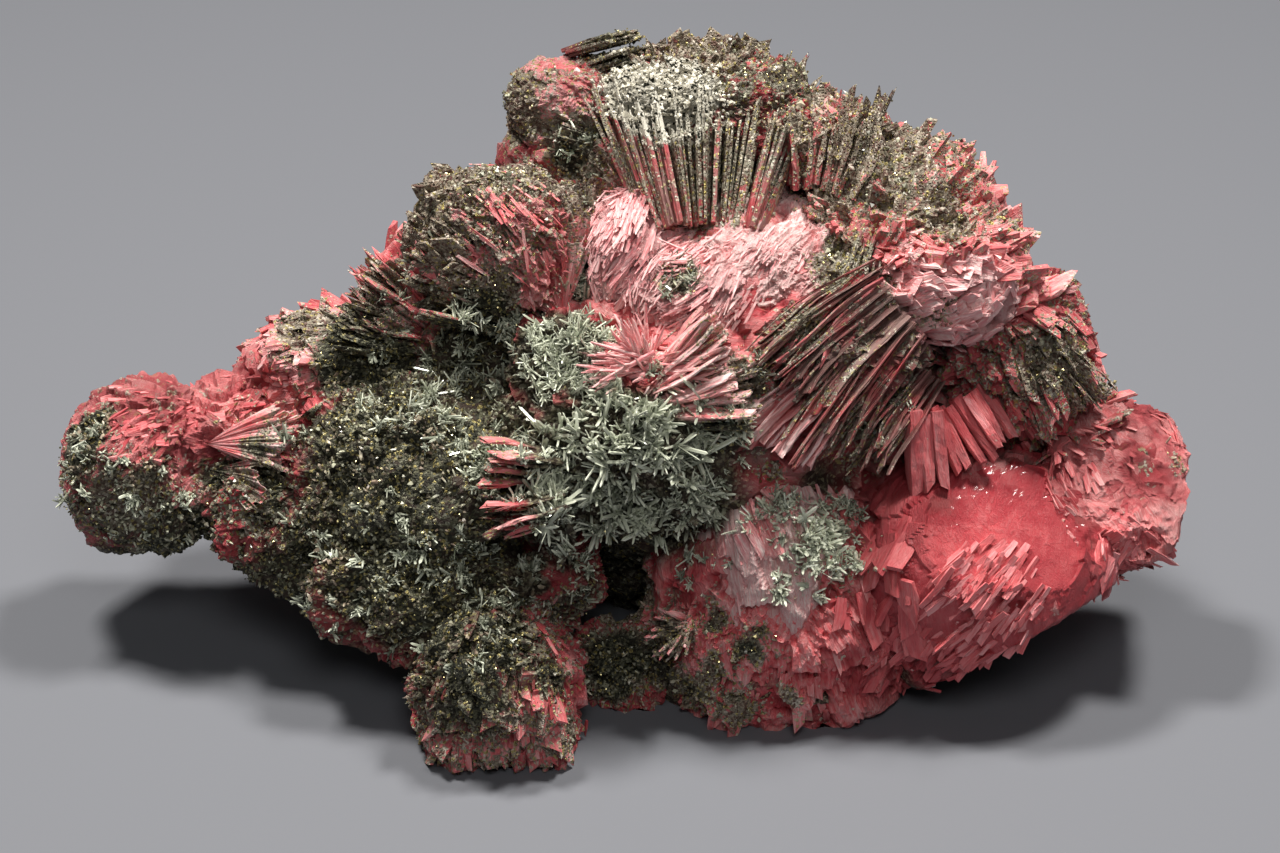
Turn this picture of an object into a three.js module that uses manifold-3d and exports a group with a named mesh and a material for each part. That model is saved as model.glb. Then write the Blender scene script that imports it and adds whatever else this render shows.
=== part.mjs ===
// A cabinet specimen of rhodonite: one intergrown mass of pink bladed crystal that stands on its broken
// underside. Druses of grey-green quartz needles and crusts of brassy pyrite grew on it in separate patches.
// Millimetres, +Z up. The origin is the middle of the footprint, on the surface it stands on.
// +X runs from the end of its long arm to its round end, and +Y from its front to its back.
import * as THREE from "three";
import { mergeVertices } from "three/addons/utils/BufferGeometryUtils.js";
import Module from "manifold-3d";

const wasm = await Module();
wasm.setup();

// Driving dimensions.
const LUMP_SWELL = 0.03; // how far each wave swells a lump's surface, as a share of its radius
const WAVES = new THREE.Vector3(4.1, 4.7, 5.3); // how often the waves rise and fall along X, Y and Z
const PHASES = new THREE.Vector3(0.37, 0.53, 0.71); // how the waves shift from one lump to the next, per mm
const TOOTH = 3; // how far a fan's blade tips stand out past the notches between them
const UNEVEN = 1.5; // how much longer or shorter than that a blade's tip may be
const PEAK = 0.65; // where a blade's tip peaks, as a share of its width
const ROOT = 0.3; // where a fan's blades start, as a share of its radius
const PLAIN_RUNS = 3; // straight runs that stand in for the tips where only a fan's outline counts
const GAP = 0.35; // clearance between the mass and what grew on it, and between two crusts
const RISE = { quartz: 4.5, pyrite: 2.2, cream: 2 }; // how far each kind of crust stands off the mass
const COARSE = 1.12; // a patch is bounded by few facets, so they stand this much further out
const MERGE = 1e-4; // vertices nearer to each other than this are one
const FLOOR_BLOCK = 400; // edge of the block that breaks the underside off flat

const FINISHES = {
  rhodonite: { color: 0xd9636b, roughness: 0.45, metalness: 0 },
  quartz: { color: 0xa9b5a6, roughness: 0.3, metalness: 0 },
  pyrite: { color: 0x8f8350, roughness: 0.35, metalness: 0.9 },
  cream: { color: 0xd8d0b8, roughness: 0.7, metalness: 0 },
};

// Lumps of massive rhodonite: centre, half-sizes and a turn about Z in degrees.
const LUMPS = [
  { at: [20, 8, 55], half: [46, 34, 40] }, // heart
  { at: [28, 10, 76], half: [36, 27, 26], turn: 10 }, // bright upper dome
  { at: [58, 18, 82], half: [25, 23, 30] }, // crest
  { at: [14, 34, 94], half: [36, 16, 24] }, // top, at the back
  { at: [-10, 34, 92], half: [20, 15, 20] }, // top left corner
  { at: [-26, 22, 68], half: [28, 22, 27] }, // left shoulder
  { at: [-58, 16, 50], half: [28, 20, 20] }, // root of the arm
  { at: [-84, 7, 40], half: [25, 16, 17] }, // arm
  { at: [-105, 4, 40], half: [16, 15, 20] }, // knob at the arm's end
  { at: [-38, -8, 45], half: [34, 24, 22] }, // left flank
  { at: [2, -12, 60], half: [22, 18, 22] }, // overhanging nose
  { at: [-38, -20, 28], half: [30, 18, 17] }, // ledge
  { at: [-26, -37, 9], half: [18, 17, 22] }, // front foot
  { at: [32, -18, 17], half: [30, 22, 36] }, // middle foot
  { at: [73, -15, 27], half: [31, 24, 27], turn: -15 }, // glossy round end
  { at: [103, -6, 41], half: [16, 15, 17] }, // right knob
  { at: [80, 12, 52], half: [20, 18, 24] }, // right flank
  { at: [16, 22, 28], half: [56, 29, 34] }, // back foot
  { at: [58, 24, 44], half: [32, 24, 34] }, // back, right
  { at: [-34, 26, 42], half: [34, 21, 28] }, // back, left
];

// Fans of blades: they start near the apex, run to the tip, and open out by spread degrees to either hand of
// it along side. width is the depth of the blades, and tips is how many blade tips show.
const FANS = [
  // The top: a pale-topped fan, a stack and a wedge to its left, and the ridge behind.
  { apex: [14, 8, 97], tip: [17, 30, 121], side: [1, 0, 0], spread: 74, width: 20, tips: 10 },
  { apex: [16, 44, 106], tip: [-9, 42, 118], side: [0, 0.55, 0.84], spread: 46, width: 14, tips: 6 },
  { apex: [0, 38, 102], tip: [-24, 36, 118], side: [0.5, 0.45, 0.7], spread: 50, width: 10, tips: 4 },
  { apex: [18, 38, 106], tip: [18, 44, 123], side: [1, 0, 0], spread: 84, width: 10, tips: 6 },
  // The left shoulder and the arm.
  { apex: [-15, 7, 80], tip: [-28, 18, 106], side: [1, 0.3, 0.3], spread: 84, width: 16, tips: 8 },
  { apex: [-20, 8, 80], tip: [-47, 16, 87], side: [0, 0.55, 0.84], spread: 46, width: 16, tips: 6 },
  { apex: [-40, 12, 66], tip: [-60, 15, 78], side: [0.4, 0.5, 0.8], spread: 50, width: 14, tips: 5 },
  { apex: [-86, 0, 52], tip: [-64, -8, 54], side: [0, 0.55, 0.84], spread: 62, width: 14, tips: 3 },
  { apex: [-97, 4, 44], tip: [-119, 3, 40], side: [0, 0.55, 0.84], spread: 96, width: 20, tips: 5 },
  // The front: a fan that hangs below the dome, the sprays on it, and leaves in the cleft.
  { apex: [58, -4, 88], tip: [33, -26, 71], side: [0.9, 0.1, -0.42], spread: 62, width: 16, tips: 11 },
  { apex: [22, -16, 83], tip: [-9, -28, 84], side: [0, 0.55, 0.84], spread: 42, width: 10, tips: 5 },
  { apex: [18, -2, 95], tip: [-4, -10, 101], side: [0.1, 0.5, 0.84], spread: 50, width: 9, tips: 5 },
  { apex: [58, 2, 90], tip: [72, -10, 86], side: [0.3, 0.5, 0.8], spread: 70, width: 12, tips: 4 },
  { apex: [-7, -26, 58], tip: [-30, -36, 62], side: [0, 0.55, 0.84], spread: 46, width: 10, tips: 5 },
  // The crest: a post, a tuft, and slabs down its right.
  { apex: [47, 24, 104], tip: [47, 30, 123], side: [1, 0, 0], spread: 34, width: 8, tips: 2 },
  { apex: [56, 24, 104], tip: [61, 28, 122], side: [1, 0, 0], spread: 50, width: 10, tips: 3 },
  { apex: [62, 14, 98], tip: [75, 15, 112], side: [0.6, 0.4, -0.6], spread: 60, width: 12, tips: 4 },
  { apex: [64, 6, 92], tip: [82, 6, 99], side: [0, 0.55, 0.84], spread: 70, width: 14, tips: 4 },
  { apex: [66, 2, 84], tip: [84, 0, 84], side: [0, 0.55, 0.84], spread: 60, width: 12, tips: 4 },
  // The right: red slabs, a stack, the round end's plates and the knob.
  { apex: [63, -6, 70], tip: [80, -23, 54], side: [0.7, 0, 0.7], spread: 40, width: 12, tips: 4 },
  { apex: [79, 4, 76], tip: [103, -4, 55], side: [0.6, 0.3, 0.7], spread: 42, width: 16, tips: 7 },
  { apex: [58, -18, 40], tip: [86, -32, 24], side: [0.5, 0, 0.85], spread: 62, width: 14, tips: 5 },
  { apex: [94, 0, 46], tip: [119, -9, 33], side: [0.4, 0.4, 0.8], spread: 84, width: 18, tips: 7 },
  // The feet.
  { apex: [-28, -38, 24], tip: [-49, -43, 14], side: [0.2, -0.3, 0.9], spread: 60, width: 12, tips: 4 },
  { apex: [54, -18, 52], tip: [54, -35, 20], side: [1, 0.2, 0], spread: 24, width: 8, tips: 3 },
  // The back.
  { apex: [-30, 34, 60], tip: [-42, 50, 68], side: [1, 0.7, 0.1], spread: 84, width: 14, tips: 7 },
  { apex: [24, 34, 68], tip: [30, 49, 78], side: [1, 0, 0], spread: 92, width: 14, tips: 8 },
  { apex: [62, 32, 60], tip: [78, 47, 56], side: [0, 0.3, 0.9], spread: 72, width: 14, tips: 6 },
];

// Patches that grew on the mass: what they are, where their middle is, and how far they reach each way.
const PATCHES = [
  { name: "pale_crust_top_fan", kind: "cream", at: [8, 22, 120], reach: [14, 12, 9] },
  { name: "pyrite_crust_ball", kind: "pyrite", at: [-26, -2, 86], reach: [5, 8, 5] },
  { name: "quartz_druse_nose", kind: "quartz", at: [2, -30, 58], reach: [24, 16, 21] },
  { name: "quartz_druse_upper", kind: "quartz", at: [-13, -10, 78], reach: [12, 13, 13] },
  { name: "quartz_druse_shoulder", kind: "quartz", at: [-33, -8, 70], reach: [13, 13, 13] },
  { name: "quartz_druse_flank", kind: "quartz", at: [-32, -28, 52], reach: [16, 14, 12] },
  { name: "quartz_druse_ledge", kind: "quartz", at: [-24, -38, 36], reach: [19, 13, 12] },
  { name: "quartz_druse_foot", kind: "quartz", at: [42, -38, 40], reach: [13, 14, 16] },
  { name: "quartz_druse_knob", kind: "quartz", at: [-102, -8, 34], reach: [13, 13, 15] },
  { name: "pyrite_crust_flank", kind: "pyrite", at: [-60, -10, 54], reach: [19, 16, 19] },
  { name: "pyrite_crust_ledge", kind: "pyrite", at: [-54, -28, 32], reach: [17, 14, 13] },
  { name: "pyrite_crust_front_foot", kind: "pyrite", at: [-32, -46, 22], reach: [18, 12, 11] },
  { name: "pyrite_crust_crest", kind: "pyrite", at: [60, 14, 108], reach: [17, 14, 11] },
  { name: "pyrite_crust_notch", kind: "pyrite", at: [38, 22, 112], reach: [10, 10, 9] },
  { name: "pyrite_crust_pocket", kind: "pyrite", at: [50, -8, 92], reach: [11, 10, 10] },
  { name: "pyrite_crust_fold", kind: "pyrite", at: [77, 2, 94], reach: [9, 10, 7] },
  { name: "pyrite_crust_right_flank", kind: "pyrite", at: [92, 2, 70], reach: [10, 10, 9] },
  { name: "pyrite_crust_nose", kind: "pyrite", at: [20, -32, 68], reach: [9, 10, 10] },
  { name: "pyrite_crust_cavity", kind: "pyrite", at: [8, -38, 16], reach: [12, 12, 10] },
  { name: "pyrite_crust_middle_foot", kind: "pyrite", at: [24, -40, 30], reach: [9, 12, 13] },
  { name: "pyrite_crust_knob", kind: "pyrite", at: [-116, -2, 30], reach: [10, 14, 13] },
  { name: "pyrite_crust_shoulder", kind: "pyrite", at: [-32, 12, 102], reach: [16, 10, 10] },
  { name: "pyrite_crust_arm", kind: "pyrite", at: [-70, 6, 68], reach: [12, 12, 9] },
  { name: "pyrite_crust_top", kind: "pyrite", at: [2, 42, 122], reach: [10, 10, 6] },
];

// A geometry's vertices, merged into one closed solid.
function solidOf(geometry) {
  geometry.deleteAttribute("normal");
  geometry.deleteAttribute("uv");
  const merged = mergeVertices(geometry, MERGE);
  return new wasm.Manifold(
    new wasm.Mesh({
      numProp: 3,
      vertProperties: new Float32Array(merged.attributes.position.array),
      triVerts: new Uint32Array(merged.index.array),
    }),
  );
}

// A solid's vertices and triangles, as a geometry.
function geometryOf(solid) {
  const mesh = solid.getMesh();
  const points = new Float32Array(mesh.numVert * 3);
  for (let i = 0; i < mesh.numVert; i++) {
    points.set(mesh.vertProperties.subarray(i * mesh.numProp, i * mesh.numProp + 3), i * 3);
  }
  return new THREE.BufferGeometry()
    .setAttribute("position", new THREE.BufferAttribute(points, 3))
    .setIndex(new THREE.BufferAttribute(mesh.triVerts, 1));
}

// An ellipsoid whose radius swells and dips by a sum of sines that differs from place to place.
function lump({ at, half, turn = 0, detail = 1 }, grow = 0) {
  const geometry = new THREE.IcosahedronGeometry(1, detail);
  const places = geometry.attributes.position;
  const point = new THREE.Vector3();
  const phase = PHASES.dot(new THREE.Vector3(...at));
  for (let i = 0; i < places.count; i++) {
    point.fromBufferAttribute(places, i).normalize();
    const wave = (axis, shift) => Math.sin(WAVES[axis] * point[axis] + shift * phase);
    point.multiplyScalar(1 + LUMP_SWELL * (wave("x", 1) + wave("y", 2) + wave("z", 3)));
    places.setXYZ(i, point.x * (half[0] + grow), point.y * (half[1] + grow), point.z * (half[2] + grow));
  }
  geometry.rotateZ(THREE.MathUtils.degToRad(turn));
  geometry.translate(...at);
  return solidOf(geometry);
}

// A fan: a sector whose arc is cut into blade tips, extruded by the blades' depth. Grown, it is a plain sector
// of three straight runs that clears the tips.
function fan({ apex, tip, side, spread, width, tips }, grow = 0) {
  const from = new THREE.Vector3(...apex);
  const axis = new THREE.Vector3(...tip).sub(from);
  const radius = axis.length() + grow;
  axis.normalize();
  const across = new THREE.Vector3(...side).projectOnPlane(axis).normalize();
  const depth = new THREE.Vector3().crossVectors(across, axis);
  const half = THREE.MathUtils.degToRad(spread / 2) + grow / radius;
  const at = (r, angle) => new THREE.Vector2(r * Math.sin(angle), r * Math.cos(angle));
  const root = Math.max(radius * ROOT - 2 * grow, 1);
  const runs = grow ? PLAIN_RUNS : tips;
  const step = (2 * half) / runs;
  const outer = grow ? radius / Math.cos(step / 2) : radius - TOOTH;
  const outline = [at(root, -half)];
  for (let i = 0; i < runs; i++) {
    const start = -half + step * i;
    const uneven = grow ? 0 : UNEVEN * Math.sin(2.3 * i + apex[0]);
    outline.push(at(outer - uneven, start));
    if (!grow) outline.push(at(radius - Math.abs(uneven), start + PEAK * step));
  }
  outline.push(at(outer, half), at(root, half));
  const shape = new THREE.Shape(outline.reverse());
  const geometry = new THREE.ExtrudeGeometry(shape, { depth: width + 2 * grow, bevelEnabled: false });
  geometry.translate(0, 0, -width / 2 - grow);
  geometry.applyMatrix4(new THREE.Matrix4().makeBasis(across, axis, depth).setPosition(from));
  return solidOf(geometry);
}

const join = (solids) => wasm.Manifold.union(solids);
const floor = solidOf(
  new THREE.BoxGeometry(FLOOR_BLOCK, FLOOR_BLOCK, FLOOR_BLOCK).translate(0, 0, -FLOOR_BLOCK / 2),
);

// The largest of a solid's shells: a pocket sealed inside it is filled, and crumbs cut off it are left out.
const largest = (solid) => solid.decompose().sort((a, b) => b.volume() - a.volume())[0];
const massGrown = (grow) =>
  largest(join([...LUMPS.map((l) => lump(l, grow)), ...FANS.map((f) => fan(f, grow))]).subtract(floor));

const specimen = new THREE.Group();
function add(name, solid, finish) {
  const mesh = new THREE.Mesh(geometryOf(solid), new THREE.MeshStandardMaterial(FINISHES[finish]));
  mesh.name = name;
  specimen.add(mesh);
}

add("rhodonite_mass", massGrown(0), "rhodonite");

// Each patch is a skin of its own thickness that follows the mass, clear of it and of the patches before it.
const clear = massGrown(GAP);
const skins = Object.fromEntries(Object.entries(RISE).map(([kind, rise]) => [kind, massGrown(rise)]));
let taken = clear;
for (const { name, kind, at, reach } of PATCHES) {
  const outline = { at, half: reach.map((r) => r * COARSE), detail: 0 };
  const patch = skins[kind].intersect(lump(outline)).subtract(taken);
  add(name, largest(patch), kind);
  taken = taken.add(lump(outline, 2 * GAP));
}

// The footprint's middle becomes the origin.
const middle = new THREE.Box3().setFromObject(specimen).getCenter(new THREE.Vector3());
specimen.position.set(-middle.x, -middle.y, 0);

export default specimen;
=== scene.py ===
import math

import bpy
import numpy as np
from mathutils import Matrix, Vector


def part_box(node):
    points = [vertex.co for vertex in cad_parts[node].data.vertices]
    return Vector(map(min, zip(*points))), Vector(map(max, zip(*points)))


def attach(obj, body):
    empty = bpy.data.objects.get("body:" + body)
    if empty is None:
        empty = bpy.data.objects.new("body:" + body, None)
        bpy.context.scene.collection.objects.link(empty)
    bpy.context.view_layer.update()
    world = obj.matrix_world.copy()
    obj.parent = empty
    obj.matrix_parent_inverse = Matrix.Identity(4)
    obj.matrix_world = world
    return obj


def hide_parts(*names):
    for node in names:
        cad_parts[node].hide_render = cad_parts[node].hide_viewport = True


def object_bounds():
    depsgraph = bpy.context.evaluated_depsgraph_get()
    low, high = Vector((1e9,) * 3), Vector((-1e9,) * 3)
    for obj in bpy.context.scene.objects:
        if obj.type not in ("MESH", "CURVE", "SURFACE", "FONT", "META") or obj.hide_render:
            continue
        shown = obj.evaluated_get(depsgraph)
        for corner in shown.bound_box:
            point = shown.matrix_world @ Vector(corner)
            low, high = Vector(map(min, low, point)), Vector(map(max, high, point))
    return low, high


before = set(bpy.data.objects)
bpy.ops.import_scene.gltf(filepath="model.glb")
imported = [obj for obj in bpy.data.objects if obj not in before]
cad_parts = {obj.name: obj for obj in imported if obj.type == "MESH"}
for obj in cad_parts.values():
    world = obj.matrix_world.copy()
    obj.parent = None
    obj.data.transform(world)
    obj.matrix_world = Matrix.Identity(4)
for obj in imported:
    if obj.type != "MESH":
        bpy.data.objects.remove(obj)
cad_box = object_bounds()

# A rhodonite specimen: a pink bladed mass with druses of quartz needles and crusts of pyrite grains.
# Lengths are in millimetres until a mesh is made, and places are in the frame's own axes.
METRE = 0.001
SEED = 20  # of all the random draws
MARGIN = 2.6  # how far a piece may stick out of the frame's box
# Large numbers that mix the bits of a cell's place and of a salt.
MIXERS = np.array([374761393, 668265263, 1442695041])
SALT_MIXER = 974711
LAST_MIXER = 1274126177
SEED_SHIFT = 31.7  # how far apart in space the noises of two seeds are
random = np.random.default_rng(SEED)

# ---------------------------------------- arrays


def unit(v):
    """Vectors divided by their lengths."""
    return v / np.maximum(np.linalg.norm(v, axis=-1, keepdims=True), 1e-9)


def vectors(*rows):
    """Rows of numbers as arrays."""
    return [np.array(row, float) for row in rows]


def side_of(along, hint):
    """Unit vectors at right angles to along, nearest to hint."""
    hint = np.broadcast_to(hint, along.shape)
    return unit(hint - along * (hint * along).sum(-1, keepdims=True))


def hashed(cell, salt):
    """A repeatable number from 0 to 1 for each row of three whole numbers."""
    mixed = cell @ MIXERS + salt * SALT_MIXER
    mixed = (mixed ^ (mixed >> 13)) * LAST_MIXER
    return ((mixed ^ (mixed >> 16)) & 0xFFFF) / 0xFFFF


def noise(points, size, seed=0):
    """A random value from -1 to 1 at each corner of a grid of size mm, blended smoothly in between."""
    place = points / size + SEED_SHIFT * seed
    cell = np.floor(place).astype(np.int64)
    part = place - cell
    part = part * part * (3 - 2 * part)
    total = np.zeros(len(points))
    for corner in range(8):
        step = np.array([corner & 1, corner >> 1 & 1, corner >> 2 & 1])
        total += hashed(cell + step, 0) * np.prod(np.where(step, part, 1 - part), axis=-1)
    return total * 2 - 1


def noises(points, size, seed):
    """Three noises with neighbouring seeds as one vector for each point."""
    return np.stack([noise(points, size, seed + k) for k in range(3)], -1)


def distance(places, middle):
    """How far each place is from the middle."""
    return np.linalg.norm(places - np.array(middle), axis=-1)


def shards(place):
    """Space split into cells, each about one jittered point in a unit cube. Returns each place's cell
    number from 0 to 1, another such number, and its cell's own point.
    """
    home = np.floor(place).astype(np.int64)
    near = np.full(len(place), np.inf)
    centre, key, other = np.zeros_like(place), np.zeros(len(place)), np.zeros(len(place))
    for step in np.ndindex(3, 3, 3):
        cell = home + np.array(step) - 1
        point = cell + 0.1 + 0.8 * np.stack([hashed(cell, salt) for salt in (1, 2, 3)], -1)
        away = np.linalg.norm(place - point, axis=-1)
        closer = away < near
        near = np.where(closer, away, near)
        centre = np.where(closer[:, None], point, centre)
        key = np.where(closer, hashed(cell, 4), key)
        other = np.where(closer, hashed(cell, 5), other)
    return key, other, centre


def scatter(count, size=1.0):
    """Random vectors with about that length each way."""
    return random.normal(0, size, (count, 3))


def per(value, count):
    """One value for each of count crystals, shaped to spread over the points of each."""
    return np.broadcast_to(value, (count,)).astype(float)[:, None, None]


# ---------------------------------------- meshes


def put_mesh(name, points, faces, values=None):
    """A mesh object from points in mm, a list of arrays of faces, and one value or vector for each point.
    """
    mesh = bpy.data.meshes.new(name)
    mesh.vertices.add(len(points))
    mesh.vertices.foreach_set("co", (points * METRE).astype(np.float32).ravel())
    corners = np.concatenate([f.ravel() for f in faces]).astype(np.int32)
    sides = np.concatenate([np.full(len(f), f.shape[1]) for f in faces])
    mesh.loops.add(len(corners))
    mesh.loops.foreach_set("vertex_index", corners)
    mesh.polygons.add(len(sides))
    mesh.polygons.foreach_set("loop_start", np.concatenate([[0], np.cumsum(sides)[:-1]]).astype(np.int32))
    mesh.polygons.foreach_set("use_smooth", np.zeros(len(sides), bool))
    mesh.update(calc_edges=True)
    for key, value in (values or {}).items():
        vector = value.ndim == 2
        attribute = mesh.attributes.new(key, "FLOAT_VECTOR" if vector else "FLOAT", "POINT")
        attribute.data.foreach_set("vector" if vector else "value", value.astype(np.float32).ravel())
    piece = bpy.data.objects.new(name, mesh)
    bpy.context.scene.collection.objects.link(piece)
    return piece


def finish(piece, material, slot, *nodes):
    """Gives a piece its material and the frame's nodes that it stands for; the slot is not used."""
    piece.data.materials.append(material)
    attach(piece, "root")
    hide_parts(*nodes)
    return piece


def arrays_of(piece):
    """A piece's points in mm, its quads and its point normals."""
    mesh = piece.data
    points = np.empty(len(mesh.vertices) * 3, np.float32)
    mesh.vertices.foreach_get("co", points)
    normals = np.empty(len(mesh.vertices) * 3, np.float32)
    mesh.vertex_normals.foreach_get("vector", normals)
    corners = np.empty(len(mesh.loops), np.int32)
    mesh.loops.foreach_get("vertex_index", corners)
    return points.reshape(-1, 3) / METRE, corners.reshape(-1, 4), normals.reshape(-1, 3).astype(float)


def put(name, made, material, slot, *nodes):
    """Made arrays as a finished piece, cut off flat on the surface that the specimen stands on and where
    it would stick out of the frame's box by more than MARGIN.
    """
    low, high = (np.array(v) / METRE for v in cad_box)
    points = np.clip(made["points"], [low[0] - MARGIN, low[1] - MARGIN, 0], high + MARGIN)
    return finish(put_mesh(name, points, made["faces"], made["values"]), material, slot, *nodes)


# ---------------------------------------- materials


class Nodes:
    """Short calls that add a shader node or two and return the socket that the next one reads."""

    def __init__(self, name):
        self.material = bpy.data.materials.new(name)
        self.material.use_nodes = True
        self.tree = self.material.node_tree
        self.shader = self.tree.nodes["Principled BSDF"]

    def join(self, value, socket):
        if isinstance(value, bpy.types.NodeSocket):
            self.tree.links.new(value, socket)
        else:
            socket.default_value = value

    def add(self, kind, output, inputs, **settings):
        node = self.tree.nodes.new(kind)
        for key, value in settings.items():
            setattr(node, key, value)
        for key, value in inputs.items():
            self.join(value, node.inputs[key])
        return node.outputs[output]

    def place(self):
        return self.add("ShaderNodeTexCoord", "Object", {})

    def attribute(self, name, output="Fac"):
        return self.add("ShaderNodeAttribute", output, {}, attribute_name=name)

    def noise(self, vector, scale, detail=2.0, roughness=0.5):
        inputs = {"Vector": vector, "Scale": scale, "Detail": detail, "Roughness": roughness}
        return self.add("ShaderNodeTexNoise", "Fac", inputs)

    def scaled(self, vector, by):
        return self.add("ShaderNodeVectorMath", 0, {0: vector, 1: by}, operation="MULTIPLY")

    def maths(self, operation, a, b, clamp=False):
        return self.add("ShaderNodeMath", 0, {0: a, 1: b}, operation=operation, use_clamp=clamp)

    def plus(self, a, b):
        return self.maths("ADD", a, b)

    def times(self, a, b, clamp=False):
        return self.maths("MULTIPLY", a, b, clamp)

    def swing(self, value, by):
        return self.times(self.maths("SUBTRACT", value, 0.5), by)

    def ramp(self, value, low, high, start=0.0, end=1.0):
        inputs = {"Value": value, "From Min": low, "From Max": high, "To Min": start, "To Max": end}
        return self.add("ShaderNodeMapRange", "Result", inputs, interpolation_type="SMOOTHSTEP")

    def mix(self, share, a, b):
        return self.add("ShaderNodeMix", 2, {0: share, 6: a, 7: b}, data_type="RGBA")

    def bump(self, height, depth, strength):
        inputs = {"Height": height, "Distance": depth, "Strength": strength}
        return self.add("ShaderNodeBump", "Normal", inputs)

    def set(self, **inputs):
        for key, value in inputs.items():
            self.join(value, self.shader.inputs[key.replace("_", " ")])
        return self.material


MAUVE = (0.20, 0.115, 0.10, 1)
DEEP = (0.46, 0.040, 0.055, 1)
CORAL = (0.74, 0.105, 0.12, 1)
SALMON = (0.84, 0.25, 0.28, 1)
PALE = (0.97, 0.76, 0.73, 1)
BROWN = (0.115, 0.092, 0.068, 1)
GREY_GREEN = (0.27, 0.27, 0.20, 1)
PALE_GRAIN = (0.66, 0.63, 0.53, 1)
# Near black: painted shade in the druses' ground and on faces that look down, and the dark specks of the
# cream crust.
NEAR_BLACK = (0.030, 0.032, 0.022, 1)
OLIVE_BED = (0.13, 0.13, 0.08, 1)
BRASS = (0.50, 0.43, 0.19, 1)
CREAM = (0.66, 0.63, 0.54, 1)
# Colours that the small crystals run between by tint, from dark to pale.
QUARTZ_TINTS = (0.085, 0.10, 0.065, 1), (0.82, 0.86, 0.70, 1)
STUB_TINTS = (0.05, 0.052, 0.03, 1), (0.58, 0.58, 0.43, 1)
PYRITE_TINTS = (0.14, 0.14, 0.06, 1), (0.80, 0.70, 0.36, 1)
CREAM_TINTS = (0.42, 0.39, 0.31, 1), (0.82, 0.79, 0.68, 1)
STUB_BROWN = (0.24, 0.17, 0.12, 1)
STUB_BEIGE = (0.46, 0.33, 0.25, 1)
DARK_SPECK = (0.03, 0.03, 0.025, 1)
DUST_CELLS = 1700  # grains of the dust in a metre


def rhodonite_material(name, roughness=0.50, coat=0.0, paler=1.0):
    """Pink crystal: mauve, deep coral, coral or salmon by tint and in clouds, with pale streaks along the
    grain and at edges; on some masses the edge value also paints light over the whole.
    Where the dust value says, a skin of half-millimetre grains covers it, brown, grey-green, pale
    or brassy from grain to grain; on the body that skin is also painted shade in hollows and on faces that
    look down. Where the bed value says, it is near black to olive and grey-green: the ground of a
    druse, near black as painted shade between its crystals, and painted shade on faces that look down. It
    is cream with dark specks where the pale crust is, and has fine ridges along the grain.
    """
    n = Nodes(name)
    place = n.place()
    grain = n.attribute("grain", "Vector")
    tint, edge, dust, bed, crust = (n.attribute(key) for key in ("tint", "edge", "dust", "bed", "crust"))
    streaks = n.noise(n.scaled(grain, (0.16, 1.3, 1.3)), 1.0, 4, 0.65)
    fine = n.noise(n.scaled(grain, (0.6, 3.6, 3.6)), 1.0, 3, 0.6)
    warm = n.plus(tint, n.swing(n.noise(place, 110, 4), 0.7))
    colour = n.mix(n.ramp(warm, 0.0, 0.35), MAUVE, DEEP)
    colour = n.mix(n.ramp(warm, 0.3, 0.65), colour, CORAL)
    colour = n.mix(n.ramp(warm, 0.6, 1.05), colour, SALMON)
    # edge: pale edges, and on some masses painted light over the whole.
    paleness = n.plus(n.ramp(streaks, 0.36, 0.72, 0, 0.75), n.times(edge, 0.55))
    paleness = n.plus(paleness, n.ramp(fine, 0.45, 0.75, 0, 0.40))
    paleness = n.times(paleness, n.ramp(warm, 0.25, 1.05, 0.10 * paler, paler), True)
    colour = n.mix(paleness, colour, PALE)
    cells = n.tree.nodes.new("ShaderNodeTexVoronoi")
    cells.inputs["Scale"].default_value = DUST_CELLS
    n.join(place, cells.inputs["Vector"])
    pick = n.add("ShaderNodeSeparateColor", "Red", {"Color": cells.outputs["Color"]})
    blotch = n.noise(place, 240, 3, 0.6)
    # The grain skin, which on the body is also painted shade in hollows and on faces that look down.
    dust_and_shade_cover = n.plus(n.plus(dust, n.swing(blotch, 1.3)), n.swing(pick, 0.5))
    dust_and_shade_cover = n.times(n.ramp(dust_and_shade_cover, 0.4, 0.6), n.ramp(dust, 0.02, 0.12))
    soil = n.mix(n.ramp(pick, 0.20, 0.40), BROWN, GREY_GREEN)
    soil = n.mix(n.ramp(pick, 0.72, 0.88), soil, PALE_GRAIN)
    colour = n.mix(n.times(dust_and_shade_cover, 0.9), colour, soil)
    # Painted shade, in part: near black between the small crystals and on faces that look down, olive and
    # grey-green ground elsewhere.
    ground_and_shade = n.mix(n.ramp(pick, 0.45, 0.65), NEAR_BLACK, OLIVE_BED)
    ground_and_shade = n.mix(n.ramp(pick, 0.76, 0.90), ground_and_shade, GREY_GREEN)
    colour = n.mix(n.ramp(bed, 0.25, 0.6, 0, 0.96), colour, ground_and_shade)
    brassy = n.times(n.ramp(pick, 0.90, 0.92), n.ramp(dust, 0.1, 0.5))
    colour = n.mix(brassy, colour, BRASS)
    speckled = n.mix(n.ramp(pick, 0.80, 0.84), CREAM, NEAR_BLACK)
    crusted = n.plus(crust, n.swing(blotch, 1.2))
    colour = n.mix(n.ramp(crusted, 0.4, 0.5), colour, speckled)
    rough = n.plus(n.ramp(fine, 0.3, 0.8, roughness - 0.12, roughness + 0.15), n.times(dust_and_shade_cover, 0.1))
    domes = n.times(n.ramp(cells.outputs["Distance"], 0.0, 0.6, 1, 0), dust_and_shade_cover)
    height = n.plus(n.plus(n.times(fine, 0.6), n.times(streaks, 0.8)), n.times(domes, 0.9))
    return n.set(Base_Color=colour, Roughness=rough, Metallic=n.times(brassy, 0.8),
                 Normal=n.bump(height, 0.0007, 0.9), Coat_Weight=coat, Coat_Roughness=0.10,
                 Specular_IOR_Level=0.28)


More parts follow.
